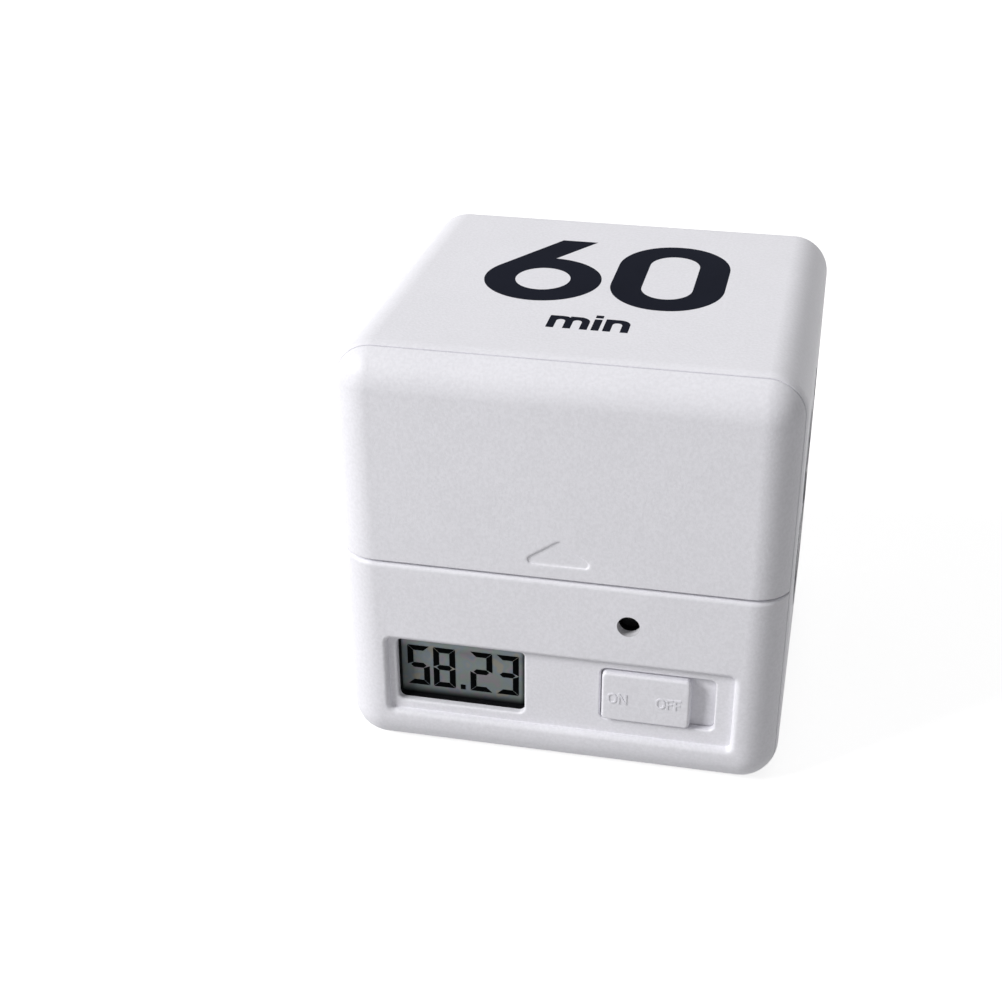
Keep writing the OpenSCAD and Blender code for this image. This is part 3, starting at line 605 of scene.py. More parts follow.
@dataclass(frozen=True)
class Moulded:
    """Moulded plastic with a fine spark-eroded grain and faint flow marks."""

    name: str
    colour: Colour
    roughness: float = 0.5
    grain: float = 0.3
    grain_depth: float = 0.01
    mottle: float = 0.012
    speckle: float = 0.0
    shine: float = 0.5
    flow: float = 9.0
    spread: float = 0.05

    def material(self) -> Material:
        """Builds the material."""
        g = Shader(self.name)
        grain = g.noise(self.grain)
        flow = g.shades(g.noise(self.flow, 3.0), self.colour, about(1.0, self.mottle))
        speckle = g.span(grain, MIDDLE, (1.0 - self.speckle, 1.0))
        return g.done(Base_Color=g.scaled(flow, speckle), Normal=g.bump(grain, self.grain_depth),
                      Roughness=g.span(grain, MIDDLE, about(self.roughness, self.spread)),
                      IOR=PLASTIC_IOR, Specular_IOR_Level=self.shine)


@dataclass(frozen=True)
class PaintedShadeBore:
    """Moulded plastic in a bore, with painted shade along its depth: a little darker at the mouth, and
    painted black near its inner end.
    """

    name: str
    colour: Colour
    mouth: float
    depth: float = 2.0
    # painted shade: the share of the colour kept at each place along the bore's depth
    levels: tuple[Levels, ...] = ((0.0, 0.66), (0.78, 0.82), (0.88, 0.01))
    grain: float = 0.3
    grain_depth: float = 0.01
    speckle: Levels = (0.94, 1.0)

    def material(self) -> Material:
        """Builds the material."""
        g = Shader(self.name)
        # painted shade: the wall's colour darkens with depth, to black near the inner end
        deep = g.span(g.axis(1), (self.mouth * MM, (self.mouth + self.depth) * MM), (0.0, 1.0))
        walls = g.ramp(deep, [(place, shade(self.colour, level)) for place, level in self.levels])
        grain = g.noise(self.grain)
        return g.done(Base_Color=g.scaled(walls, g.span(grain, MIDDLE, self.speckle)),
                      Normal=g.bump(grain, self.grain_depth), Roughness=0.6, Specular_IOR_Level=0.03)


@dataclass(frozen=True)
class Metal:
    """Plated or rolled metal with fine drawing lines along one axis."""

    name: str
    colour: Colour
    roughness: float = 0.28
    stretch: Triple = (1.0, 12.0, 12.0)
    line: float = 0.6
    line_depth: float = 0.002
    smear: float = 1.8
    spread: float = 0.15

    def material(self) -> Material:
        """Builds the material."""
        g = Shader(self.name)
        lines = g.noise(self.line, 3.0, g.stretched(self.stretch))
        rough = g.span(g.noise(self.smear, 3.0), MIDDLE, (self.roughness, self.roughness + self.spread))
        return g.done(Base_Color=g.shades(lines, self.colour, (0.88, 1.0), (0.2, 0.8)), Metallic=1.0,
                      Roughness=rough, Normal=g.bump(lines, self.line_depth))


@dataclass(frozen=True)
class DisplayFilm:
    """The display's front film: grey-green, with painted shade at its left, right and bottom edges, painted
    shade lower down and painted light near the top.
    """

    name: str
    x: Span
    z: Span
    hues: tuple[tuple[float, Colour], ...] = (
        (0.28, (0.285, 0.275, 0.235)), (0.4, (0.215, 0.25, 0.285)), (0.52, (0.225, 0.265, 0.245)),
        (0.62, (0.265, 0.24, 0.265)), (0.74, (0.2, 0.235, 0.28)))
    hue_size: float = 1.9
    # near-black of the painted shade at the edges
    edge: Colour = (0.001, 0.0015, 0.002)
    shine: float = 0.03
    # painted shade at the left, right and bottom edges: where each starts, and how far it reaches inwards
    left_shade: Span = (-0.35, 0.82)
    right_shade: Span = (-0.2, 0.8)
    bottom_shade: Span = (0.07, 1.75)
    # painted shade lower down and painted light near the top, as factors on the colour
    low_painted_shade_z: Span = (10.5, 15.2)
    low_painted_shade: Levels = (0.82, 1.0)
    top_painted_light_z: Span = (15.2, 16.3)
    top_painted_light: Levels = (1.0, 1.8)
    grain: float = 0.09
    grain_depth: float = 0.0006

    def material(self) -> Material:
        """Builds the material."""
        g = Shader(self.name)
        across, height = g.axis(0), g.axis(2)
        sides = ((across, self.x[0], 1, self.left_shade), (across, self.x[1], -1, self.right_shade),
                 (height, self.z[0], 1, self.bottom_shade))
        left, right, bottom = (
            g.span(value, ((edge + start) * MM, (edge + start + inward * width) * MM), (0.0, 1.0))
            for value, edge, inward, (start, width) in sides)
        # light: the painted edge shade, 0 at the edges and 1 inside
        light = g.combine("MULTIPLY", g.combine("MULTIPLY", left, right), bottom)
        ground = g.ramp(g.noise(self.hue_size, 1.0), self.hues)
        # painted shade lower down, then painted light near the top
        for (low, high), levels in ((self.low_painted_shade_z, self.low_painted_shade), (self.top_painted_light_z, self.top_painted_light)):
            ground = g.scaled(ground, g.span(height, (low * MM, high * MM), levels))
        return g.done(Base_Color=g.blend(light, self.edge, ground), Roughness=0.4, IOR=1.45,
                      Normal=g.bump(g.noise(self.grain, 1.0), self.grain_depth),
                      Specular_IOR_Level=self.shine)


@dataclass(frozen=True)
class Foam:
    """Closed-cell foam or rubber: small round cells, matt."""

    name: str
    colour: Colour
    cell: float = 0.25
    cell_depth: float = 0.02
    shine: float = 0.04

    def material(self) -> Material:
        """Builds the material."""
        g = Shader(self.name)
        inputs = {"Vector": g.place, "Scale": 1.0 / (self.cell * MM)}
        cells = g.node("TexVoronoi", inputs).outputs["Distance"]
        return g.done(Base_Color=g.shades(cells, self.colour, (0.6, 1.0), (0.0, 0.6)), Roughness=0.85,
                      Normal=g.bump(cells, self.cell_depth), Specular_IOR_Level=self.shine)


@dataclass(frozen=True)
class Laminate:
    """Board laminate: woven glass under solder mask, with faint copper tracks."""

    name: str
    colour: Colour
    track: Colour
    pitch: float = 4.2
    weave: float = 0.5
    relief: float = 0.02

    def material(self) -> Material:
        """Builds the material."""
        g = Shader(self.name)
        turned = g.node("Mapping", {"Vector": g.place, "Rotation": (math.radians(90), 0, 0)})
        inputs = {"Vector": turned.outputs["Vector"], "Scale": 1.0 / (self.pitch * MM), "Mortar Size": 0.05,
                  "Mortar Smooth": 0.2, "Brick Width": 1.3, "Row Height": 0.42}
        tracks = g.node("TexBrick", inputs, offset=0.35).outputs["Fac"]
        weave = g.shades(g.noise(self.weave, 1.0, g.stretched((1, 1, 3))), self.colour, (0.85, 1.0))
        return g.done(Base_Color=g.blend(tracks, weave, self.track), Roughness=0.35, IOR=GLASS_IOR,
                      Normal=g.bump(tracks, self.relief))


@dataclass(frozen=True)
class Glossy:
    """A smooth moulded or cast surface with a soft shine, such as resin or wire insulation."""

    name: str
    colour: Colour
    roughness: float = 0.25
    wave: float = 1.4
    wave_depth: float = 0.01
    shine: float = 0.5

    def material(self) -> Material:
        """Builds the material."""
        g = Shader(self.name)
        wave = g.noise(self.wave)
        return g.done(Base_Color=g.shades(wave, self.colour, (0.9, 1.06)),
                      Roughness=g.span(wave, MIDDLE, (self.roughness - 0.04, self.roughness + 0.06)),
                      Normal=g.bump(wave, self.wave_depth), IOR=PLASTIC_IOR,
                      Specular_IOR_Level=self.shine)


@dataclass(frozen=True)
class Banded:
    """Even bands across one axis, such as a winding's turns or a zebra strip's layers.

    Their light is half the sine of the place along the axis, plus a half.
    """

    name: str
    dark: Colour
    light: Colour
    pitch: float
    axis: int
    metallic: float
    roughness: float
    relief: float = 0.02

    def material(self) -> Material:
        """Builds the material."""
        g = Shader(self.name)
        turns = g.combine("MULTIPLY", g.axis(self.axis), math.tau / (self.pitch * MM))
        wave = g.combine("MULTIPLY_ADD", g.combine("SINE", turns), 0.5, 0.5)
        return g.done(Base_Color=g.ramp(wave, [(0.35, self.dark), (0.65, self.light)]),
                      Normal=g.bump(wave, self.relief), Metallic=self.metallic, Roughness=self.roughness)


@dataclass(frozen=True)
class Glass:
    """Clear float glass with faint dust."""

    name: str
    colour: Colour
    dust: float = 0.8

    def material(self) -> Material:
        """Builds the material."""
        g = Shader(self.name)
        dust = g.noise(self.dust, 4.0)
        return g.done(Base_Color=g.shades(dust, self.colour, (0.96, 1.0)), IOR=GLASS_IOR,
                      Roughness=g.span(dust, (0.4, 0.8), (0.03, 0.12)), Transmission_Weight=0.9)


class Finish(Enum):
    """Every finish of the timer, by the record's material slot, and the painted shade on the wall of the
    sound hole.
    """

    SHELL = "white_plastic"
    INK = "print_ink"
    FOAM = "foam_gasket"
    FILM = "display_film"
    GLASS = "display_glass"
    REFLECTOR = "display_reflector"
    SEGMENT = "display_segment"
    ZEBRA = "zebra_rubber"
    BOARD = "board_laminate"
    RESIN = "resin"
    BLACK = "black_plastic"
    CERAMIC = "ceramic_tan"
    TINNED = "tinned_steel"
    NICKEL = "nickel_steel"
    CAN_SLEEVE = "capacitor_sleeve"
    PAPER = "buzzer_laminate"
    FERRITE = "ferrite"
    COPPER = "copper"
    PHENOLIC = "phenolic"
    GOLD = "gold_contact"
    CELL = "cell_sleeve"
    RED_WIRE = "wire_red"
    BLACK_WIRE = "wire_black"
    BORE = "bore_wall"


class Body(Enum):
    """The bodies that the pieces made here ride on."""

    HOUSING = "housing"
    DOOR = "battery_door"
    SWITCH = "power_switch"


class Finishes:
    """Makes each finish once, when it is first asked for, and gives it to the pieces."""

    def __init__(self, display_x: Span, display_z: Span, bore_mouth: float) -> None:
        """Lists the finishes.

        Args:
            display_x: Left and right of the display window.
            display_z: Bottom and top of the display window.
            bore_mouth: Y of the mouth of the sound hole.
        """
        self._made: dict[Finish, Material] = {}
        self._recipes = {
            Finish.SHELL: Moulded("white_shell", (0.825, 0.818, 0.864), roughness=0.46, grain=0.42,
                                  grain_depth=0.03, speckle=0.06),
            Finish.INK: Moulded("print_ink", (0.012, 0.0137, 0.0225), roughness=0.6, grain=0.12,
                                grain_depth=0.002, mottle=0.08, speckle=0.1, shine=0.006),
            Finish.FOAM: Foam("foam_gasket", (0.006, 0.006, 0.007)),
            Finish.FILM: DisplayFilm("display_film", display_x, display_z),
            Finish.GLASS: Glass("display_glass", (0.9, 0.95, 0.94)),
            Finish.REFLECTOR: Metal("display_reflector", (0.6, 0.63, 0.62), 0.35),
            Finish.SEGMENT: Glossy("display_segment", (0.0012, 0.0016, 0.0018), roughness=0.4, wave=0.8,
                                   wave_depth=0.0005, shine=0.008),
            Finish.ZEBRA: Banded("zebra_strip", (0.03, 0.03, 0.032), (0.5, 0.5, 0.48), pitch=0.18,
                                 axis=0, metallic=0.0, roughness=0.6),
            Finish.BOARD: Laminate("board_laminate", (0.02, 0.16, 0.055), (0.05, 0.28, 0.1)),
            Finish.RESIN: Glossy("resin", (0.012, 0.012, 0.014), 0.2, wave=2.0, wave_depth=0.03),
            Finish.BLACK: Moulded("black_plastic", (0.018, 0.018, 0.02), roughness=0.45,
                                  grain_depth=0.006, mottle=0.1),
            Finish.CERAMIC: Moulded("ceramic_chip", (0.42, 0.3, 0.19), roughness=0.55, grain=0.1,
                                    grain_depth=0.004, mottle=0.06),
            Finish.TINNED: Metal("tinned_leads", (0.72, 0.72, 0.73), 0.35),
            Finish.NICKEL: Metal("nickel_plate", (0.72, 0.7, 0.67), 0.24),
            Finish.CAN_SLEEVE: Glossy("capacitor_sleeve", (0.02, 0.045, 0.2), 0.3),
            Finish.PAPER: Laminate("buzzer_base", (0.45, 0.36, 0.18), (0.5, 0.4, 0.2)),
            Finish.FERRITE: Moulded("ferrite", (0.035, 0.035, 0.04), roughness=0.6, grain=0.15,
                                    mottle=0.1),
            Finish.COPPER: Banded("copper_winding", (0.3, 0.1, 0.03), (0.75, 0.34, 0.16), pitch=0.12,
                                  axis=1, metallic=1.0, roughness=0.3),
            Finish.PHENOLIC: Moulded("phenolic", (0.16, 0.075, 0.03), grain=0.2, grain_depth=0.006,
                                     mottle=0.15),
            Finish.GOLD: Metal("gold_contact", (0.83, 0.6, 0.27), 0.25),
            Finish.CELL: Glossy("cell_sleeve", (0.035, 0.09, 0.16), 0.28, wave=6.0),
            Finish.RED_WIRE: Glossy("red_insulation", (0.5, 0.012, 0.012), 0.35),
            Finish.BLACK_WIRE: Glossy("black_insulation", (0.012, 0.012, 0.013), 0.35),
            Finish.BORE: PaintedShadeBore("bore_wall", (0.815, 0.808, 0.84), bore_mouth),
        }

    def __getitem__(self, finish: Finish) -> Material:
        """The material of a finish.

        Args:
            finish: The finish.

        Returns:
            The material.
        """
        if finish not in self._made:
            self._made[finish] = self._recipes[finish].material()
        return self._made[finish]

    def settle(self, skin: Skin, name: str, finish: Finish, *nodes: str, body: Body = Body.HOUSING,
               inner: Finish | None = None, edge: float = 0.0) -> None:
        """Makes a piece of a skin and gives it its body and its CAD nodes.

        Args:
            skin: The skin.
            name: Name of the piece.
            finish: Finish of the piece, which gives the slot.
            nodes: CAD nodes that the piece replaces.
            body: Body that it rides on.
            inner: Finish of the skin's zone 1, if it has one.
            edge: Width of the bevel on sharp edges.
        """
        materials = [self[zone] for zone in (finish, inner) if zone]
        piece = skin.piece(name, materials, edge)
        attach(piece, body.value)
        if nodes:
            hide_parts(*nodes)
        LOG.info("%s: %d faces on %s", name, len(piece.data.polygons), body.value)


# ---- shells ----


@dataclass
class CubeForm:
    """The rounded cube that all three shells share, read from the CAD boxes.

    Its surface is a core box whose faces, edges and corners are grown by one radius.
    """

    radius: float = 5.2
    round_off: float = 0.12
    rim_depth: float = 3.5
    door_edge: float = 30.375
    steps: int = 14
    half: float = field(init=False)
    height: float = field(init=False)
    core: float = field(init=False)
    rear_rim: float = field(init=False)
    front_rim: float = field(init=False)

    def __post_init__(self) -> None:
        """Works out the cube's size and the place of its seams from the CAD nodes."""
        low, high = node_box("rear_housing")
        self.half = float(high[0])
        self.height = float(high[2])
        self.core = self.half - self.radius
        self.rear_rim = float(low[1])
        self.front_rim = self.rear_rim - 2 * (self.rear_rim + self.half - self.rim_depth)

    def fillet(self, radius: float, degrees: Array) -> Array:
        """The round between the front and the sides: core + radius (sin a, -cos a).

        Args:
            radius: Radius of the round.
            degrees: Angles from the front's normal.

        Returns:
            Pairs of outward offset from the core and Y.
        """
        turn = np.radians(degrees)
        return np.stack([radius * np.sin(turn), -self.core - radius * np.cos(turn)], axis=-1)

    def back_fillet(self, radius: float) -> Array:
        """The same round between the sides and the back."""
        return self.fillet(radius, np.linspace(90, 180, self.steps + 1)) + (0, 2 * self.core)

    def degrees_at(self, radius: float, y: float) -> float:
        """Angle from the front's normal at which a fillet reaches a Y."""
        return math.degrees(math.acos((-self.core - y) / radius))

    def rim(self, place: float, degrees: Array) -> Array:
        """The small round of a rim, about a centre on the fillet one round_off further in.

        Args:
            place: Angle from the front's normal at which the rim leaves the fillet.
            degrees: Directions of the points, from the front's normal.

        Returns:
            Pairs of outward offset from the core and Y.
        """
        turn = np.radians(degrees)
        centre = self.fillet(self.radius - self.round_off, np.array([place]))[0]
        return centre + self.round_off * np.stack([np.sin(turn), -np.cos(turn)], axis=-1)


@dataclass
class RearShell:
    """The five-sided rear housing with its two screw posts."""

    form: CubeForm
    wall: float = 2.0
    rim_steps: int = 5
    post_x: float = 19.0
    post_z: float = 44.75
    post_front: float = -12.8
    post_radius: float = 2.75
    post_edge: float = 0.2
    bore_radius: float = 1.03
    bore_end: float = -4.3
    web: float = 1.2
    web_front: float = -6.0
    web_overlap: float = 0.05

    def profile(self) -> Array:
        """Section of the outer surface, from the middle of the rim to the back face.

        Returns:
            Pairs of outward offset from the core and Y.
        """
        form, edge = self.form, self.form.round_off
        start = form.degrees_at(form.radius - edge, form.rear_rim + edge)
        rim = form.rim(start, np.linspace(0, start, self.rim_steps))
        front = form.fillet(form.radius, np.linspace(start, 90, self.rim_steps))[1:]
        return np.concatenate([rim, front, form.back_fillet(form.radius)])

    def build(self, finishes: Finishes) -> None:
        """Makes the tub and the posts.

        Args:
            finishes: The finishes.
        """
        form = self.form
        core_z = (form.radius, form.height - form.radius)
        core = rectangle(about(0.0, form.core), core_z, 0.0, form.steps)
        inner = form.radius - self.wall
        skin = Skin()
        skin.sweep(core, form.back_fillet(inner)[::-1], (inner, form.rear_rim), self.profile())
        for y in (form.half, form.half - self.wall):
            skin.flat([core.ring()], y)
        finishes.settle(skin, "rear_shell", Finish.SHELL, "rear_housing")
        self.posts(finishes)

    def posts(self, finishes: Finishes) -> None:
        """Makes the two screw posts and their webs.

        Args:
            finishes: The finishes.
        """
        skin = Skin()
        inner = self.form.half - self.wall
        for side in SIDES:
            post, bore = (circle(side * self.post_x, self.post_z, radius)
                          for radius in (self.post_radius, self.bore_radius))
            skin.sweep(post, brim(self.post_front, -self.post_edge), (0, inner))
            skin.flat([post.ring()], inner)
            skin.flat([post.ring(-self.post_edge)], self.post_front, [bore.ring()])
            skin.well(bore, self.post_front, self.bore_end)
            near = self.post_x + self.post_radius - self.web_overlap
            x = (near, inner) if side > 0 else (-inner, -near)
            skin.brick(x, (self.web_front, inner), about(self.post_z, self.web / 2))
        finishes.settle(skin, "rear_posts", Finish.SHELL)


class Half(Enum):
    """The two halves of the front cap."""

    LOWER = "lower"
    UPPER = "upper"


@dataclass
class CapHalf:
    """One half of the front cap: part of the rounded cube in front of the seam.

    Every section parallel to the front is a U: two straight sides that end at the parting edge,
    and two round corners about the core's corners, at an offset that follows the fillet.
    """

    form: CubeForm
    half: Half
    edge_z: float
    wall: float
    brow: float
    taper: Span = (30.0, 65.0)
    rim_steps: int = 7

    def mirrored(self, z: Array) -> Array:
        """Heights of the lower half, turned over for the upper one."""
        return z if self.half is Half.LOWER else self.form.height - z

    def u_path(self, offset: float, y: float, end: float) -> Array:
        """One section of the half.

        Args:
            offset: Distance from the core.
            y: Place of the section.
            end: Height at which the sides end, in the lower half's terms.

        Returns:
            An array of shape (n, 3), from the left end to the right one.
        """
        form = self.form
        turn = np.radians(np.linspace(180, 270, form.steps + 1))
        left = np.array([-form.core, form.radius]) + offset * unit(turn)
        right = np.array([form.core, form.radius]) + offset * unit(turn + math.pi / 2)
        ends = np.array([[-form.core - offset, end], [form.core + offset, end]])
        plan = np.concatenate([ends[:1], left, right, ends[1:]])
        return np.column_stack([plan[:, 0], np.full(len(plan), y), self.mirrored(plan[:, 1])])

    def strip(self, skin: Skin, rows: Sequence[Array], ends: Array) -> None:
        """Adds the surface through some sections.

        Args:
            skin: The skin.
            rows: Pairs of offset and Y, one for each section.
            ends: Heights at which their sides end.
        """
        sections = [self.u_path(offset, y, end) for (offset, y), end in zip(rows, ends)]
        skin.loft(np.stack(sections), closed=False)

    def outer_rows(self) -> tuple[Array, Array]:
        """Section of the outer surface from the front to the rim.

        Returns:
            Pairs of offset and Y, and the angle of each pair's normal from the front's.
        """
        form, edge = self.form, self.form.round_off
        stop = form.degrees_at(form.radius - edge, form.front_rim - edge)
        first = np.linspace(0, stop, form.steps)
        second = np.linspace(stop, 180, self.rim_steps)[1:]
        rows = np.concatenate([form.fillet(form.radius, first), form.rim(stop, second)])
        return rows, np.radians(np.concatenate([first, second]))

    def inner_rows(self) -> Array:
        """Section of the inner surface from the front to the rim, as pairs of offset and Y."""
        form, radius = self.form, self.form.radius - self.wall
        places = (form.front_rim - form.round_off, form.front_rim)
        ends = [form.degrees_at(radius, y) for y in places]
        return form.fillet(radius, np.append(np.linspace(0, ends[0], form.steps), ends[1]))

    def shell(self, skin: Skin, holes: Sequence[Array], inner_holes: Sequence[Array]) -> None:
        """Adds the half's walls to a skin.

        Args:
            skin: The skin.
            holes: Holes in the outer front face.
            inner_holes: Holes in the inner front face.
        """
        form, edge = self.form, self.form.round_off
        end = float(self.mirrored(np.array(self.edge_z)))
        outer, normals = self.outer_rows()
        inner = self.inner_rows()
        round_off = np.interp(normals, np.radians(self.taper), [self.brow, edge])
        self.strip(skin, outer, end - round_off)
        self.strip(skin, inner, end - np.append(np.zeros(len(inner) - 1), edge))
        self.strip(skin, [outer[-1], inner[-1]], np.full(2, end - edge))
        # the parting edge: each point of the section moves inwards as it climbs the round
        rows = np.concatenate([outer, inner[-1:]])
        angles = np.append(normals, math.pi)
        climb = np.linspace(0, math.pi / 2, self.rim_steps)[:, None]
        reach = np.append(round_off, edge)
        inset = reach * (1 - np.cos(climb))
        offset = rows[:, 0] - inset * np.sin(angles)
        y = rows[:, 1] + inset * np.cos(angles)
        z = self.mirrored(end - reach + reach * np.sin(climb))
        left = np.stack([-form.core - offset, y, z], axis=-1)[:, ::-1]
        right = np.stack([form.core + offset, y, z], axis=-1)
        brow = np.concatenate([left, right], axis=1)
        skin.loft(brow, closed=False)
        under = inner[:-1] + (form.core, 0)
        loop = np.concatenate([brow[-1, :, :2], under[::-1], under * (-1, 1)])
        skin.flat([loop], self.edge_z, plane=LEVEL)
        faces = ((-form.half, end - self.brow, holes), (-form.half + self.wall, end, inner_holes))
        for face, top, cuts in faces:
            ends = self.mirrored(np.array([top, form.radius]))
            square = rectangle(about(0.0, form.core), (ends.min(), ends.max()), 0.0, 1)
            skin.flat([square.ring()], face, cuts)


@dataclass
class LowerFront:
    """The lower front: a sunken panel with the display window, the knob's slot and the sound hole."""

    form: CubeForm
    wall: float = 2.0
    panel_depth: float = 1.0
    panel: Outline = field(default_factory=lambda: rectangle((-23.7, 23.8), (6.3, 18.1), 0.8))
    window_x: Span = (-22.6, -4.7)
    window_z: Span = (7.65, 17.55)
    window_corners: tuple[float, ...] = (1.0, 0.6, 0.6, 1.0)
    slot: Outline = field(default_factory=lambda: rectangle((5.8, 21.3), (8.6, 16.7), 0.8))
    sound_hole: Outline = field(default_factory=lambda: circle(9.43, 24.35, 1.5, 12))
    panel_round: float = 0.75
    panel_foot: float = 0.1
    window_round: float = 0.35
    slot_round: float = 0.3
    hole_round: float = 0.03
    seam: float = 0.3
    brow: float = 0.7
    sill_t: float = 1.25
    latch_half: float = 5.3
    bulkhead_y: Span = (-26.35, -24.85)
    lip_offsets: Span = (1.7, 2.9)
    lip_y: Span = (-27.575, -24.975)
    boss_radius: float = 2.1
    bore_radius: float = 0.83
    bore_floor: float = 2.0
    board_y: float = -22.2
    bosses: tuple[Point, ...] = ((-23.6, 26.5), (23.6, 26.5), (23.9, 5.6), (0.9, 5.2))
    clip_x: float = 15.0
    clip_half: float = 4.0
    clip_y: Span = (-0.2, 7.0)
    clip_z: Span = (2.3, 3.3)
    hook_y: Span = (4.6, 5.8)
    hook_z: Span = (1.4, 2.3)
    edge: float = 0.08

    def opening(self, skin: Skin, outline: Outline, face: float, rim: float) -> Array:
        """Adds the walls of an opening with a round rim, down to the inner front face.

        Args:
            skin: The skin.
            outline: The opening.
            face: Y of the face that it opens in.
            rim: Radius of its rim.

        Returns:
            The hole that it makes in the face.
        """
        skin.sweep(outline, brim(face, rim, 5), (0, -self.form.half + self.wall))
        return outline.ring(rim)

    def build(self, finishes: Finishes) -> None:
        """Makes the lower front and the pieces moulded behind it.

        Args:
            finishes: The finishes.
        """
        face = -self.form.half
        floor = face + self.panel_depth
        window = rectangle(self.window_x, self.window_z, self.window_corners)
        skin = Skin()
        skin.sweep(self.panel, brim(face, self.panel_round, 7), foot(floor, self.panel_foot))
        holes = [self.opening(skin, window, floor, self.window_round),
                 self.opening(skin, self.slot, floor, self.slot_round)]
        skin.flat([self.panel.ring(-self.panel_foot)], floor, holes)
        # zone 1 is the sound hole's wall, which gets the bore finish with its painted shade
        skin.zone = 1
        sound = self.opening(skin, self.sound_hole, face, self.hole_round)
        skin.zone = 0
        through = [outline.ring() for outline in (window, self.slot, self.sound_hole)]
        cap = CapHalf(self.form, Half.LOWER, self.form.door_edge - self.seam, self.wall, self.brow)
        cap.shell(skin, [self.panel.ring(self.panel_round), sound], through)
        finishes.settle(skin, "lower_front", Finish.SHELL, "front_housing", inner=Finish.BORE)
        self.fittings(finishes, cap)

    def fittings(self, finishes: Finishes, cap: CapHalf) -> None:
        """Makes the lip, the sill behind the seam, the bosses for the board and the clips.

        Args:
            finishes: The finishes.
            cap: The walls that they stand behind.
        """
        skin = Skin()
        (low, high), (near, far) = self.lip_offsets, self.lip_y
        top = cap.edge_z - self.sill_t
        cap.strip(skin, [(low, near), (high, near), (high, far), (low, far), (low, near)], np.full(5, top))
        half = self.form.core + high
        front = -self.form.half + self.wall
        plate, back = self.bulkhead_y
        right = np.array([(self.latch_half, plate), (self.latch_half, front), (half, front), (half, back)])
        skin.prism(np.concatenate([right, right[::-1] * (-1, 1)]), (top, cap.edge_z))
        for place in self.bosses:
            boss, bore = circle(*place, self.boss_radius), circle(*place, self.bore_radius)
            skin.well(boss, self.board_y, front)
            skin.well(bore, self.board_y, front + self.bore_floor)
            skin.flat([boss.ring()], self.board_y, [bore.ring()])
        for side in SIDES:
            for y, z in ((self.clip_y, self.clip_z), (self.hook_y, self.hook_z)):
                depth = (self.form.front_rim + y[0], self.form.front_rim + y[1])
                skin.brick(about(side * self.clip_x, self.clip_half), depth, z)
        finishes.settle(skin, "front_fittings", Finish.SHELL, edge=self.edge)


@dataclass
class BatteryBay:
    """The plate behind the door with the battery tray, and the guides that hold the door."""

    plate_half: float = 27.7
    plate_z: Span = (28.975, 57.7)
    plate_y: Span = (-26.35, -24.85)
    plate_corners: tuple[float, ...] = (0.3, 2.9, 2.9, 0.3)
    plate_edge: float = 0.15
    tray_half: float = 24.2
    tray_z: Span = (33.6, 55.9)
    tray_wall: float = 1.2
    tray_corner: float = 0.6
    tray_edge: float = 0.3
    pocket_corner: float = 0.3
    pocket_rim: float = 0.25
    pocket_foot: float = 0.2
    floor_y: float = -15.3
    back_y: float = -13.8
    screw_x: float = 19.0
    counterbore: float = 1.0
    head_radius: float = 2.2
    seat_radius: float = 3.0
    seat_y: float = -12.8
    guide_x: float = 24.4
    guide_w: float = 1.6
    stem: float = 0.8
    guide_y: Span = (-28.095, -27.395)
    bevel: Point = (1.0, 0.45)
    guide_z: Span = (31.575, 54.8)
    guide_edge: float = 0.08

    def build(self, finishes: Finishes) -> None:
        """Makes the bay and the guides.

        Args:
            finishes: The finishes.
        """
        (front, back), wall = self.plate_y, self.tray_wall
        (low, high), middle = self.tray_z, sum(self.tray_z) / 2
        plate = rectangle(about(0.0, self.plate_half), self.plate_z, self.plate_corners)
        pocket = rectangle(about(0.0, self.tray_half), self.tray_z, self.pocket_corner, 4)
        tray = rectangle(about(0.0, self.tray_half + wall), (low - wall, high + wall), self.tray_corner, 5)
        skin = Skin()
        skin.sweep(plate, brim(front, -self.plate_edge), (0, back))
        skin.sweep(pocket, brim(front, self.pocket_rim, 4), foot(self.floor_y, self.pocket_foot))
        skin.sweep(tray, (0, back), foot(self.back_y, self.tray_edge))
        skin.flat([plate.ring(-self.plate_edge)], front, [pocket.ring(self.pocket_rim)])
        skin.flat([plate.ring()], back, [tray.ring()])
        heads, seats = ([circle(side * self.screw_x, middle, radius) for side in SIDES]
                        for radius in (self.head_radius, self.seat_radius))
        skin.flat([pocket.ring(-self.pocket_foot)], self.floor_y, [head.ring() for head in heads])
        skin.flat([tray.ring(-self.tray_edge)], self.back_y, [seat.ring() for seat in seats])
        for head, seat in zip(heads, seats):
            skin.well(head, self.floor_y, self.floor_y + self.counterbore)
            skin.well(seat, self.back_y, self.seat_y)
        finishes.settle(skin, "battery_bay", Finish.SHELL)
        self.guides(finishes)

    def guides(self, finishes: Finishes) -> None:
        """Makes the two hooked guides.

        Args:
            finishes: The finishes.
        """
        (front, back), plate, w = self.guide_y, self.plate_y[0], self.guide_w
        loop = np.array([(0, front), (w - self.bevel[0], front), (w, front + self.bevel[1]), (w, back),
                         (self.stem, back), (self.stem, plate), (0, plate)])
        skin = Skin()
        for side in SIDES:
            skin.prism(loop * (side, 1) + (side * self.guide_x, 0), self.guide_z)
        finishes.settle(skin, "door_guides", Finish.SHELL, edge=self.guide_edge)


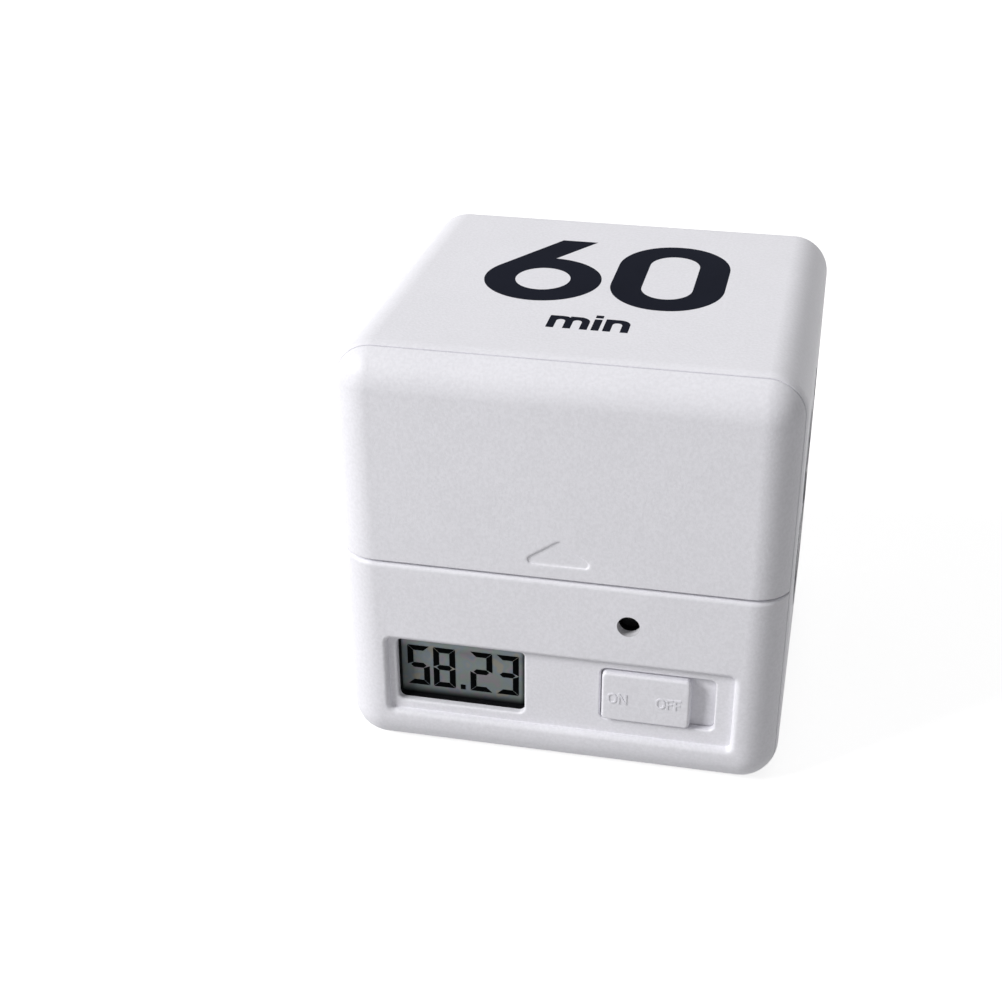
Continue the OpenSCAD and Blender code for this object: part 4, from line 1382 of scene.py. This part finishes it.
@dataclass
class BatteryDoor:
    """The upper front, which slides up off the cube, with its sunken arrow."""

    form: CubeForm
    wall: float = 1.5
    brow: float = 0.25
    arrow_z: Span = (32.38, 36.2)
    arrow_half: float = 4.6
    arrow_round: float = 0.6
    arrow_lean: float = 1.9
    arrow_tip: float = 1.35
    arrow_rim: float = 0.42
    arrow_depth: float = 0.22
    tongue_x: Span = (25.4, 28.0)
    tongue_t: float = 0.62
    tongue_z: Span = (31.575, 55.3)
    rib_x: float = 10.0
    rib_half: float = 0.5
    rib_y: float = -26.6
    rib_z: Span = (33.6, 54.9)
    latch_half: float = 5.0
    latch_y: Span = (-27.8, -26.8)
    latch_low: float = 28.3
    latch_rise: Span = (0.2, 2.2)
    edge: float = 0.1

    def arrow(self) -> Outline:
        """Outline of the arrow."""
        r, (low, high) = self.arrow_round, self.arrow_z
        lean = self.arrow_half - self.arrow_lean * r
        return triangle(((-lean, low + r), (lean, low + r), (0.0, high - self.arrow_tip * r)), r)

    def build(self, finishes: Finishes) -> None:
        """Makes the door and what is moulded inside it.

        Args:
            finishes: The finishes.
        """
        face, rim = -self.form.half, self.arrow_rim
        middle, floor = face + self.arrow_depth / 2, face + self.arrow_depth
        arrow = self.arrow()
        skin = Skin()
        skin.sweep(arrow, bend((rim, face), (0, face), (0, middle), 6),
                   bend((0, middle), (0, floor), (-rim, floor), 6)[1:])
        skin.flat([arrow.ring(-rim)], floor)
        cap = CapHalf(self.form, Half.UPPER, self.form.door_edge, self.wall, self.brow)
        cap.shell(skin, [arrow.ring(rim)], [])
        finishes.settle(skin, "door_cover", Finish.SHELL, "battery_door", body=Body.DOOR)
        self.fittings(finishes)

    def fittings(self, finishes: Finishes) -> None:
        """Makes the tongues, the ribs over the cells and the latch.

        Args:
            finishes: The finishes.
        """
        skin = Skin()
        inner, rim = -self.form.half + self.wall, self.form.front_rim
        for side in SIDES:
            near, far = sorted(side * x for x in self.tongue_x)
            skin.brick((near, far), (rim - self.tongue_t, rim), self.tongue_z)
            skin.brick(about(side * self.rib_x, self.rib_half), (inner, self.rib_y), self.rib_z)
        (front, back), foot_z = self.latch_y, self.latch_low
        low, high = (self.form.door_edge + rise for rise in self.latch_rise)
        latch = [(inner, low), (front, low), (front, foot_z), (back, foot_z), (back, high), (inner, high)]
        skin.prism(np.array(latch), about(0.0, self.latch_half), ACROSS)
        finishes.settle(skin, "door_fittings", Finish.SHELL, body=Body.DOOR, edge=self.edge)


def bar(start: Point, end: Point, width: float) -> Array:
    """The four corners of a straight stroke between the middles of its ends.

    Args:
        start: Middle of one end.
        end: Middle of the other end.
        width: Width of the stroke.

    Returns:
        An array of shape (4, 2).
    """
    a, b = np.array(start), np.array(end)
    along = (b - a) / np.linalg.norm(b - a)
    side = np.array([-along[1], along[0]]) * width / 2
    return np.stack([a - side, b - side, b + side, a + side])


@dataclass
class SlidingKnob:
    """The ON and OFF knob with the flange that closes its slot."""

    top_y: float = -29.65
    flange_y: Span = (-27.85, -27.05)
    edge: float = 0.4
    flange_edge: float = 0.1
    radius: float = 0.7
    half: Point = (6.0, 3.8)
    socket_half: Point = (1.2, 1.6)
    socket_corner: float = 0.1
    socket_depth: float = 0.9
    letter_z: Span = (11.75, 13.35)
    letter_rise: float = 0.09
    letter_root: float = 0.02
    stroke: float = 0.23
    o_width: float = 1.25
    o_radius: float = 0.6
    stem_x: float = 0.1
    n_right: float = 1.05
    f_right: float = 0.85
    f_middle: float = 0.72
    letters_at: tuple[tuple[float, str], ...] = (
        (-5.15, "O"), (-3.7, "N"), (1.4, "O"), (2.85, "F"), (3.92, "F"))

    def build(self, finishes: Finishes) -> None:
        """Makes the knob and its raised letters.

        Args:
            finishes: The finishes.
        """
        low, high = node_box("switch_knob")
        x, _, z = (low + high) / 2
        (half_w, half_h), (socket_w, socket_h) = self.half, self.socket_half
        knob = rectangle(about(x, half_w), about(z, half_h), self.radius)
        flange = rectangle((low[0], high[0]), (low[2], high[2]), self.radius)
        socket = rectangle(about(x, socket_w), about(z, socket_h), self.socket_corner, 2)
        front, back = self.flange_y
        skin = Skin()
        skin.sweep(knob, brim(self.top_y, -self.edge, 7), (0, front))
        skin.flat([knob.ring(-self.edge)], self.top_y)
        skin.sweep(flange, brim(front, -self.flange_edge), (0, back))
        skin.flat([flange.ring(-self.flange_edge)], front, [knob.ring()])
        skin.flat([flange.ring()], back, [socket.ring()])
        skin.well(socket, back, front - self.socket_depth)
        finishes.settle(skin, "slide_knob", Finish.SHELL, "switch_knob", body=Body.SWITCH)
        self.letters(finishes, float(x))

    def letters(self, finishes: Finishes, middle: float) -> None:
        """Makes the raised ON at the left end and OFF at the right end.

        Args:
            finishes: The finishes.
            middle: X of the knob's middle.
        """
        skin = Skin()
        (low, high), s, x = self.letter_z, self.stroke, self.stem_x
        waist, head = (low + high) / 2, high - s / 2
        heights = (self.top_y - self.letter_rise, self.top_y + self.letter_root)
        ring = rectangle((0, self.o_width), (low, high), self.o_radius).ring()
        hole = rectangle((s, self.o_width - s), (low + s, high - s), self.o_radius - s).ring()
        strokes = {
            "N": (((x, low), (x, high)), ((self.n_right, low), (self.n_right, high)),
                  ((x, high), (self.n_right, low))),
            "F": (((x, low), (x, high)), ((0, head), (self.f_right, head)),
                  ((0, waist), (self.f_middle, waist))),
        }
        for left, letter in self.letters_at:
            loops, holes = [ring], [hole]
            if letter in strokes:
                loops, holes = [bar(a, b, s) for a, b in strokes[letter]], []
            shift = (middle + left, 0.0)
            skin.slab([loop + shift for loop in loops], heights, [part + shift for part in holes])
        finishes.settle(skin, "knob_letters", Finish.SHELL, body=Body.SWITCH)


# ---- display ----


@dataclass
class Digits:
    """The dark segments of the display: four figures of seven segments and a point."""

    lefts: tuple[float, ...] = (-21.6, -17.93, -12.68, -8.96)
    shown: str = "5823"
    point_x: Span = (-14.1, -13.4)
    point_corner: float = 0.05
    z: Span = (9.26, 15.7)
    width: float = 3.12
    upright: float = 0.83
    level: float = 0.78
    gap: float = 0.05
    rise: Span = (-27.235, -27.19)

    LIT = {"2": "abged", "3": "abgcd", "5": "afgcd", "8": "abcdefg"}

    def segments(self, x: float) -> dict[str, Array]:
        """The seven segments of one figure, with mitred ends.

        Args:
            x: Left edge of the figure.

        Returns:
            The corners of each segment by letter.
        """
        (low, z), u, h, g = self.z, self.upright, self.level, self.gap
        m = (low + z) / 2
        near, r = x + u + g, x + self.width
        far, half = r - u - g, u / 2 + g
        left = np.array([(x, m + g), (x + u, m + h / 2 + g), (x + u, z - h - g), (x, z - g * 1.5)])
        top = np.array([(x + g, z), (r - g, z), (far, z - h), (near, z - h)])
        middle = np.array([(x + half, m), (near, m + h / 2), (far, m + h / 2), (r - half, m),
                           (far, m - h / 2), (near, m - h / 2)])
        lower, right = ((1, -1), (0, 2 * m)), ((-1, 1), (x + r, 0.0))
        left_lower = left * lower[0] + lower[1]
        return {"a": top, "b": left * right[0] + right[1], "c": left_lower * right[0] + right[1],
                "d": top * lower[0] + lower[1], "e": left_lower, "f": left, "g": middle}

    def build(self, finishes: Finishes) -> None:
        """Makes the lit segments as thin dark shapes on the film.

        Args:
            finishes: The finishes.
        """
        skin = Skin()
        for figure, x in zip(self.shown, self.lefts):
            shapes = self.segments(x)
            for letter in self.LIT[figure]:
                skin.slab([shapes[letter]], self.rise)
        point = rectangle(self.point_x, (self.z[0], self.z[0] + self.level), self.point_corner, 2)
        skin.slab([point.ring()], self.rise)
        finishes.settle(skin, "display_segments", Finish.SEGMENT)


# ---- printed times ----


def arc(centre: Point, radii: Point, degrees: Span, steps: int = 60) -> Array:
    """Points of an ellipse between two angles: centre + (a cos t, b sin t)."""
    turn = np.radians(np.linspace(*degrees, steps + 1))
    return np.array(centre) + np.array(radii) * unit(turn)


def sector(centre: Point, outer: Point, inner: Point, degrees: Span) -> Array:
    """Part of a ring between two ellipses and two angles."""
    return np.concatenate([arc(centre, outer, degrees), arc(centre, inner, degrees)[::-1]])


@dataclass(frozen=True)
class Glyph:
    """One printed sign: what it covers, what it leaves open, and how wide it is."""

    loops: tuple[Array, ...]
    holes: tuple[Array, ...]
    width: float


@dataclass
class TimeFont:
    """Broad rounded figures, and the small word below them, by their strokes.

    Figures stand on v = 0 and are one height tall; u runs to the right from their left edge.
    """

    height: float = 25.2
    width: float = 15.6
    stem: float = 4.3
    bar: float = 4.0
    stretch_0: float = 1.15
    bar_0: float = 4.2
    rounds_0: Point = (7.6, 3.45)
    width_1: float = 9.2
    stem_1: float = 4.4
    flag_1: tuple[Point, ...] = ((0.0, -5.6), (0.0, -10.2), (4.4, -7.9))
    tip_1: float = 5.4
    head_2: Span = (7.6, 3.7)
    turn_2: float = -38.0
    neck_2: Span = (0.2, 6.4)
    waist_3: Span = (11.4, 15.2)
    waist_x_3: Span = (-2.6, 0.3)
    narrow_3: float = 0.5
    turn_3: float = 172.0
    bowl_5: Span = (8.1, 4.2)
    shift_5: float = 0.2
    turns_5: Span = (-172.0, 124.0)
    head_5: Span = (1.4, 0.8)
    stem_5: Span = (1.0, 5.8)
    bowl_6: Point = (8.1, 8.35)
    centre_6: Point = (8.1, 8.65)
    hole_6: Point = (3.8, 4.25)
    tip_6: Point = (8.0, -0.3)
    shoulder_6: float = 13.1
    word_stroke: float = 1.02
    word_height: float = 4.1
    word_gap: float = 0.48
    m_width: float = 5.4
    n_width: float = 3.3
    i_top: float = 3.78
    dot: Span = (4.25, 5.18)
    word_corner: float = 0.1
    arch_round: float = 1.5
    arch_stroke: float = 1.12
    arch_start: float = 0.5

    def figure(self, sign: str) -> Glyph:
        """The shape of one figure: 0, 1, 2, 3, 5 or 6."""
        return getattr(self, f"figure_{sign}")()

    def figure_0(self) -> Glyph:
        """An upright ring with round corners."""
        w, h, k = self.width, self.height, self.stretch_0
        inner = ((self.stem, w - self.stem), (self.bar_0 / k, (h - self.bar_0) / k))
        outer = rectangle((0, w), (0, h / k), self.rounds_0[0], 16).ring() * (1, k)
        hole = rectangle(*inner, self.rounds_0[1], 14).ring() * (1, k)
        return Glyph((outer,), (hole,), w)

    def figure_1(self) -> Glyph:
        """A stem with a slanted flag."""
        w, h, stem = self.width_1, self.height, self.stem_1
        flag = [(u, h + v) for u, v in self.flag_1]
        loop = np.array([*flag, (stem, 0), (w, 0), (w, h), (self.tip_1, h)])
        return Glyph((loop,), (), w)

    def figure_2(self) -> Glyph:
        """A round head, a slanted neck and a flat foot."""
        w, h, bar_v = self.width, self.height, self.bar
        (outer, inner), (left, right) = self.head_2, self.neck_2
        head = sector((w / 2, h - outer), (w / 2, outer), (w / 2 - self.stem, inner), (self.turn_2, 180))
        neck = np.array([tuple(head[0]), tuple(head[-1]), (left, bar_v), (right, bar_v)])
        feet = np.array([(left, 0), (w, 0), (w, bar_v), (left, bar_v)])
        return Glyph((head, neck, feet), (), w)

    def figure_3(self) -> Glyph:
        """Two round bowls, the lower one larger."""
        w, h, (low, high) = self.width / 2, self.height, self.waist_3
        reach, bowl, narrow = (h - low) / 2, high / 2, w - self.narrow_3
        upper = sector((w, h - reach), (narrow, reach), (narrow - self.stem, h - high - reach),
                       (-90, self.turn_3))
        lower = sector((w, bowl), (w, bowl), (w - self.stem, low - bowl), (-self.turn_3, 90))
        left, right = self.waist_x_3
        waist = rectangle((w + left, w + right), self.waist_3, 0.0, 1).ring()
        return Glyph((upper, lower, waist), (), self.width)

    def figure_5(self) -> Glyph:
        """A flat head, a short stem and a round bowl."""
        w, h, shift = self.width, self.height, self.shift_5
        (outer, inner), (left, right), (foot_u, head_u) = self.bowl_5, self.head_5, self.stem_5
        bowl = sector((w / 2 - shift, outer), (w / 2 + shift, outer), (w / 2 - self.stem + shift, inner),
                      self.turns_5)
        end = bowl[len(bowl) // 2]
        head = np.array([(left, h), (left, h - self.bar), (w - right, h - self.bar), (w - right, h)])
        stem = np.array([(left, h), (foot_u, end[1]), tuple(end), (head_u, h)])
        return Glyph((bowl, head, stem), (), w)

    def figure_6(self) -> Glyph:
        """A round bowl with a straight slanted stem that touches it on the left."""
        top = self.height + self.tip_6[1]
        reach = (top - self.centre_6[1]) / self.bowl_6[1]
        touch = 90 + math.degrees(math.acos(1 / reach))
        body = arc(self.centre_6, self.bowl_6, (touch - 360, 88))
        outline = np.concatenate([body, [(self.shoulder_6, top), (self.tip_6[0], top)]])
        hole = arc(self.centre_6, self.hole_6, (0, 350), 35)
        return Glyph((outline,), (hole,), 2 * self.bowl_6[0])

    def stroke(self, left: float, low: float, high: float) -> Array:
        """An upright stroke of the word."""
        return rectangle((left, left + self.word_stroke), (low, high), self.word_corner, 2).ring()

    def word(self, left: float, base: float) -> list[Array]:
        """The word min, as loops that may overlap.

        Args:
            left: Left edge of the word.
            base: Line that it stands on.

        Returns:
            The loops.
        """
        i_left = left + self.m_width + self.word_gap
        n_left = i_left + self.word_stroke + self.word_gap
        stem = self.stroke(i_left, base, base + self.i_top)
        dot = self.stroke(i_left, base + self.dot[0], base + self.dot[1])
        letter_m = self.arches(left, base, self.m_width, 2)
        return [*letter_m, stem, dot, *self.arches(n_left, base, self.n_width, 1)]

    def arches(self, left: float, base: float, width: float, count: int) -> list[Array]:
        """A stem followed by one or two arches, as in n and m.

        Args:
            left: Left edge.
            base: Line that the letter stands on.
            width: Width of the whole letter.
            count: Number of arches.

        Returns:
            Loops for the stem and each arch.
        """
        stroke, top, r = self.word_stroke, base + self.word_height, self.arch_round
        pitch = (width - stroke) / count
        half = (pitch - stroke) / 2
        spring = top - self.arch_stroke - half
        loops = [self.stroke(left, base, top)]
        for x0 in (left + k * pitch for k in range(count)):
            x1, start = x0 + pitch + stroke, x0 + self.arch_start
            outer = arc((x1 - r, top - r), (r, r), (0, 90), 8)
            inner = arc((x0 + stroke + half, spring), (half, half), (180, 0), 12)
            loops.append(np.concatenate([[(x1, base)], outer, [(start, top), (start, spring)], inner,
                                         [(x1 - stroke, base)]]))
        return loops


class Side(Enum):
    """The four sides that carry a time: its figures, and the direction in which they run."""

    TOP = ("60", (1, 0, 0))
    RIGHT = ("30", (0, 0, -1))
    BOTTOM = ("20", (-1, 0, 0))
    LEFT = ("15", (0, 0, 1))


@dataclass
class PrintedTimes:
    """The times printed on the four sides, each upright when its side is on top."""

    form: CubeForm
    font: TimeFont = field(default_factory=TimeFont)
    middle: float = 0.3
    figures_base: float = -8.3
    figures_gap: float = 1.4
    word_left: float = -4.5
    word_base: float = -16.8
    thickness: float = 0.012

    def plane(self, right: Triple) -> Plane:
        """The plane of a side, its middle as origin, with Y as up and right x up as out.

        Args:
            right: Direction in which the figures run.

        Returns:
            The plane.
        """
        up = (0, 1, 0)
        out = np.cross(right, up)
        origin = np.array([0, 0, self.form.height / 2]) + out * self.form.half
        return Plane(tuple(origin), right, up, tuple(out))

    def build(self, finishes: Finishes) -> None:
        """Makes the four prints.

        Args:
            finishes: The finishes.
        """
        heights = about(0.0, self.thickness)
        for side in Side:
            signs, right = side.value
            plane = self.plane(right)
            glyphs = [self.font.figure(sign) for sign in signs]
            u = self.middle - (sum(glyph.width for glyph in glyphs) + self.figures_gap) / 2
            skin = Skin()
            for glyph in glyphs:
                loops, holes = ([part + (u, self.figures_base) for part in parts]
                                for parts in (glyph.loops, glyph.holes))
                skin.slab(loops, heights, holes, plane)
                u += glyph.width + self.figures_gap
            skin.slab(self.font.word(self.word_left, self.word_base), heights, plane=plane)
            finishes.settle(skin, f"print_{side.name.lower()}", Finish.INK)


# ---- power supply ----


@dataclass(frozen=True)
class Lathe:
    """A line along X that profiles turn about: point = origin + (l, r cos t, r sin t)."""

    origin: Array
    toward: float
    steps: int = 64

    def turn(self, skin: Skin, *parts: Array | Point) -> None:
        """Adds the surface of a profile, given as pairs of radius and distance from the origin.

        Args:
            skin: The skin.
            parts: Pairs of radius and distance from the origin, one by one or in arrays.
        """
        radii, along = np.concatenate([np.atleast_2d(part) for part in parts]).T[:, :, None]
        circles = radii[..., None] * unit(np.linspace(0, math.tau, self.steps, endpoint=False))
        lengths = np.broadcast_to(along * self.toward, circles.shape[:2])
        skin.loft(np.concatenate([lengths[..., None], circles], axis=-1) + self.origin)


@dataclass
class Cells:
    """The two AAA cells, each a plated can in a shrink sleeve with a light band at its button."""

    radius: float = 5.25
    sleeve_t: float = 0.12
    bevel: float = 0.5
    dish: float = 0.12
    dish_rims: Span = (1.0, 0.8)
    groove: float = 0.2
    groove_rims: tuple[float, ...] = (1.2, 1.0, 0.3)
    button_radius: float = 1.9
    button_l: float = 1.0
    button_edge: float = 0.3
    band_l: float = 8.0
    flat_lip: float = 1.3
    flat_bend: float = 0.55
    flat_over: float = 0.02
    button_lip: float = 1.5
    button_over: float = 0.04
    lip_t: float = 0.05
    tuck: float = 0.1
    tuck_back: float = 0.6

    def build(self, finishes: Finishes) -> None:
        """Makes both cells from the boxes of their CAD nodes.

        Args:
            finishes: The finishes.
        """
        for node, toward in (("battery_upper", -1.0), ("battery_lower", 1.0)):
            low, high = node_box(node)
            length = float(high[0] - low[0])
            lathe = Lathe((low + high) / 2 - (toward * length / 2, 0, 0), toward)
            self.can(node, lathe, length, finishes)
            self.sleeve(node, lathe, length - self.button_l, finishes)

    def can(self, node: str, lathe: Lathe, length: float, finishes: Finishes) -> None:
        """Makes the steel can with its button.

        Args:
            node: CAD node of the cell.
            lathe: Axis of the cell.
            length: Length of the cell.
            finishes: The finishes.
        """
        r, b, body = self.radius - self.sleeve_t, self.button_radius, length - self.button_l
        bevel, edge, low = self.bevel, self.button_edge, body - self.groove
        skin = Skin()
        lathe.turn(
            skin, (0.0, self.dish), (r - self.dish_rims[0], self.dish), (r - self.dish_rims[1], 0.0),
            bend((r - bevel, 0.0), (r, 0.0), (r, bevel)),
            bend((r, body - bevel), (r, body), (r - bevel, body)),
            np.column_stack([b + np.array(self.groove_rims), (body, low, low)]),
            bend((b, low), (b, body + self.groove / 2), (b, body + self.groove), 2),
            bend((b, length - edge), (b, length), (b - edge, length), 4), (0.0, length))
        finishes.settle(skin, f"{node}_can", Finish.NICKEL, node)

    def sleeve(self, node: str, lathe: Lathe, end: float, finishes: Finishes) -> None:
        """Makes the shrink sleeve, drawn in over both ends, with its band in a second zone.

        Args:
            node: CAD node of the cell.
            lathe: Axis of the cell.
            end: Distance of the button's foot from the flat end.
            finishes: The finishes.
        """
        r, inner, tuck, join = self.radius, self.radius - self.sleeve_t, self.tuck, end - self.band_l
        flat, button = r - self.flat_lip, r - self.button_lip
        start, stop = -self.flat_over, end + self.button_over
        skin = Skin()
        lathe.turn(skin, (flat, tuck), (flat, start),
                   bend((flat, start), (r, start), (r, self.flat_bend)), (r, join))
        skin.zone = 1
        lathe.turn(skin, (r, join), bend((r, end - self.flat_bend), (r, stop), (button, stop)),
                   (button, end - self.lip_t))
        skin.zone = 0
        lathe.turn(skin, (button, end - self.lip_t), (inner - self.bevel, end - tuck),
                   (inner - tuck, end - self.tuck_back), (inner - tuck, self.tuck_back),
                   (inner - self.bevel, tuck), (flat, tuck))
        finishes.settle(skin, f"{node}_sleeve", Finish.CELL, inner=Finish.TINNED)


@dataclass
class Springs:
    """The two conical battery springs, as round wire on a helix whose radius shrinks."""

    wire: float = 0.3
    turns: int = 3
    base_radius: float = 3.4
    tip_radius: float = 2.2
    tip_gap: float = 0.1
    steps: int = 40
    sides: int = 12

    def helix(self, start: float, end: float, centre: Point) -> Array:
        """Centre line of one spring: x runs evenly, and y and z turn at a radius that shrinks.

        Args:
            start: X of the wide end.
            end: X of the narrow end.
            centre: Y and Z of its axis.

        Returns:
            An array of shape (n, 3).
        """
        t = np.linspace(0, 1, self.turns * self.steps + 1)
        radius = self.base_radius + (self.tip_radius - self.base_radius) * t
        across = np.array(centre) + radius[:, None] * unit(math.tau * self.turns * t)
        return np.column_stack([start + (end - start) * t, across])

    def wire_rings(self, path: Array) -> Array:
        """Rings of round wire along a path: point + r (u cos a + w sin a), u and w across it.

        Args:
            path: Centre line of the wire, of shape (n, 3).

        Returns:
            An array of shape (n, sides, 3).
        """
        along = np.gradient(path, axis=0)
        along /= np.linalg.norm(along, axis=1, keepdims=True)
        u = np.cross(along, (1.0, 0.0, 0.0))
        u /= np.linalg.norm(u, axis=1, keepdims=True)
        w = np.cross(along, u)
        turn = np.linspace(0, math.tau, self.sides, endpoint=False)[None, :, None]
        return path[:, None] + self.wire * (u[:, None] * np.cos(turn) + w[:, None] * np.sin(turn))

    def build(self, finishes: Finishes) -> None:
        """Makes both springs between the contact plates and the cells.

        Args:
            finishes: The finishes.
        """
        skin = Skin()
        low, high = node_box("battery_springs")
        middle_y = (low[1] + high[1]) / 2
        for side, node, base in ((1, "battery_upper", high[0]), (-1, "battery_lower", low[0])):
            cell_low, cell_high = node_box(node)
            tip = cell_high[0] if side > 0 else cell_low[0]
            centre = (middle_y, (cell_low[2] + cell_high[2]) / 2)
            ends = (base - side * self.wire, tip + side * (self.wire + self.tip_gap))
            rings = self.wire_rings(self.helix(*ends, centre))
            skin.loft(rings)
            for ring in (rings[0], rings[-1]):
                skin.add(ring, [list(range(self.sides))])
        finishes.settle(skin, "springs", Finish.NICKEL, "battery_springs")


# ---- pieces that keep their CAD shape ----


def dress_cad_nodes(finishes: Finishes) -> None:
    """Gives every CAD node the finish of its material slot.

    Args:
        finishes: The finishes.
    """
    slots = {part["node"]: part["material_slot"] for part in frame["record"]["subparts"]}
    for node, piece in frame["nodes"].items():
        finish = finishes[Finish(slots[node])]
        for holder in piece.material_slots:
            holder.material = finish
        if not piece.material_slots:
            piece.data.materials.append(finish)
    LOG.info("%d CAD nodes dressed", len(slots))


# ---- studio ----


def staged(name: str, data: bpy.types.ID) -> bpy.types.Object:
    """An object of the studio, in the scene.

    Args:
        name: Name of the object.
        data: Its camera, light or mesh.

    Returns:
        The object.
    """
    thing = bpy.data.objects.new(name, data)
    bpy.context.scene.collection.objects.link(thing)
    return thing


@dataclass(frozen=True)
class Lamp:
    """A soft square lamp that points at the cube."""

    name: str
    place: Triple
    size: float
    power: float
    target: Triple = (0.0, 0.0, 0.03)

    def build(self) -> None:
        """Makes the lamp."""
        data = bpy.data.lights.new(self.name, "AREA")
        data.shape = "SQUARE"
        data.size = self.size
        data.energy = self.power
        lamp = staged(self.name, data)
        lamp.location = self.place
        toward = Vector(self.target) - Vector(self.place)
        lamp.rotation_euler = toward.to_track_quat("-Z", "Y").to_euler()


@dataclass(frozen=True)
class Studio:
    """A pale floor, soft light from the left and a camera above the front."""

    camera_place: Triple = (0.03194, -0.20222, 0.13664)
    camera_degrees: Triple = (60.933, -0.230, 11.406)
    lens: float = 56.667
    sensor: float = 36.0
    shift: Point = (-0.03892, 0.01896)
    clip: Span = (0.01, 20.0)
    floor_half: float = 3.0
    floor_colour: Colour = (0.5, 0.5, 0.5)
    floor_glow: Levels = (0.8, 0.9)
    glow_reach: Span = (0.3, 1.2)
    ambient: float = 0.279
    lamps: tuple[Lamp, ...] = (
        Lamp("key", (-1.035, -0.635, 0.79), 0.52, 19.5),
        Lamp("back", (0.15, 0.65, 0.9), 0.5, 1.7),
    )

    def camera(self) -> None:
        """Makes the camera."""
        data = bpy.data.cameras.new("camera")
        data.sensor_width = self.sensor
        data.lens = self.lens
        data.shift_x, data.shift_y = self.shift
        data.clip_start, data.clip_end = self.clip
        camera = staged("camera", data)
        camera.location = self.camera_place
        camera.rotation_euler = Euler([math.radians(a) for a in self.camera_degrees])
        bpy.context.scene.camera = camera

    def floor(self) -> None:
        """Makes the floor, which adds a little glow of its own for the camera, and more far away."""
        corners = rectangle(about(0.0, self.floor_half), about(0.0, self.floor_half), 0.0, 0).ring()
        mesh = bpy.data.meshes.new("floor")
        mesh.from_pydata(LEVEL.at(corners).tolist(), [], [(0, 1, 2, 3)])
        floor = staged("floor", mesh)
        g = Shader("floor")
        away = g.node("VectorMath", {0: g.place}, operation="LENGTH").outputs["Value"]
        glow = g.combine("MULTIPLY", g.seen(), g.span(away, self.glow_reach, self.floor_glow))
        mesh.materials.append(g.done(Base_Color=self.floor_colour, Roughness=0.9, Specular_IOR_Level=0.0,
                                     Emission_Color=WHITE, Emission_Strength=glow))

    def world(self) -> None:
        """Lights the cube evenly from all round, and shows white behind it."""
        world = bpy.data.worlds.new("studio")
        world.use_nodes = True
        bpy.context.scene.world = world
        g = Graph(world.node_tree)
        background = world.node_tree.nodes["Background"]
        g.put(background.inputs["Color"], WHITE)
        g.put(background.inputs["Strength"], g.span(g.seen(), (0.0, 1.0), (self.ambient, 1.0)))

    def build(self) -> None:
        """Makes the camera, the floor, the lamps and the world."""
        bpy.context.scene.view_settings.view_transform = "Standard"
        self.camera()
        self.floor()
        self.world()
        for lamp in self.lamps:
            lamp.build()


def main() -> None:
    """Builds the studio and the timer."""
    logging.basicConfig(level=logging.INFO, format="%(name)s: %(message)s")
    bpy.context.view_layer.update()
    Studio().build()
    form = CubeForm()
    lower = LowerFront(form)
    finishes = Finishes(lower.window_x, lower.window_z, -form.half)
    dress_cad_nodes(finishes)
    sub_assemblies = (RearShell(form), lower, BatteryBay(), BatteryDoor(form), SlidingKnob(), Digits(),
                      PrintedTimes(form), Cells(), Springs())
    for sub_assembly in sub_assemblies:
        sub_assembly.build(finishes)


if __name__ == "__main__":
    main()
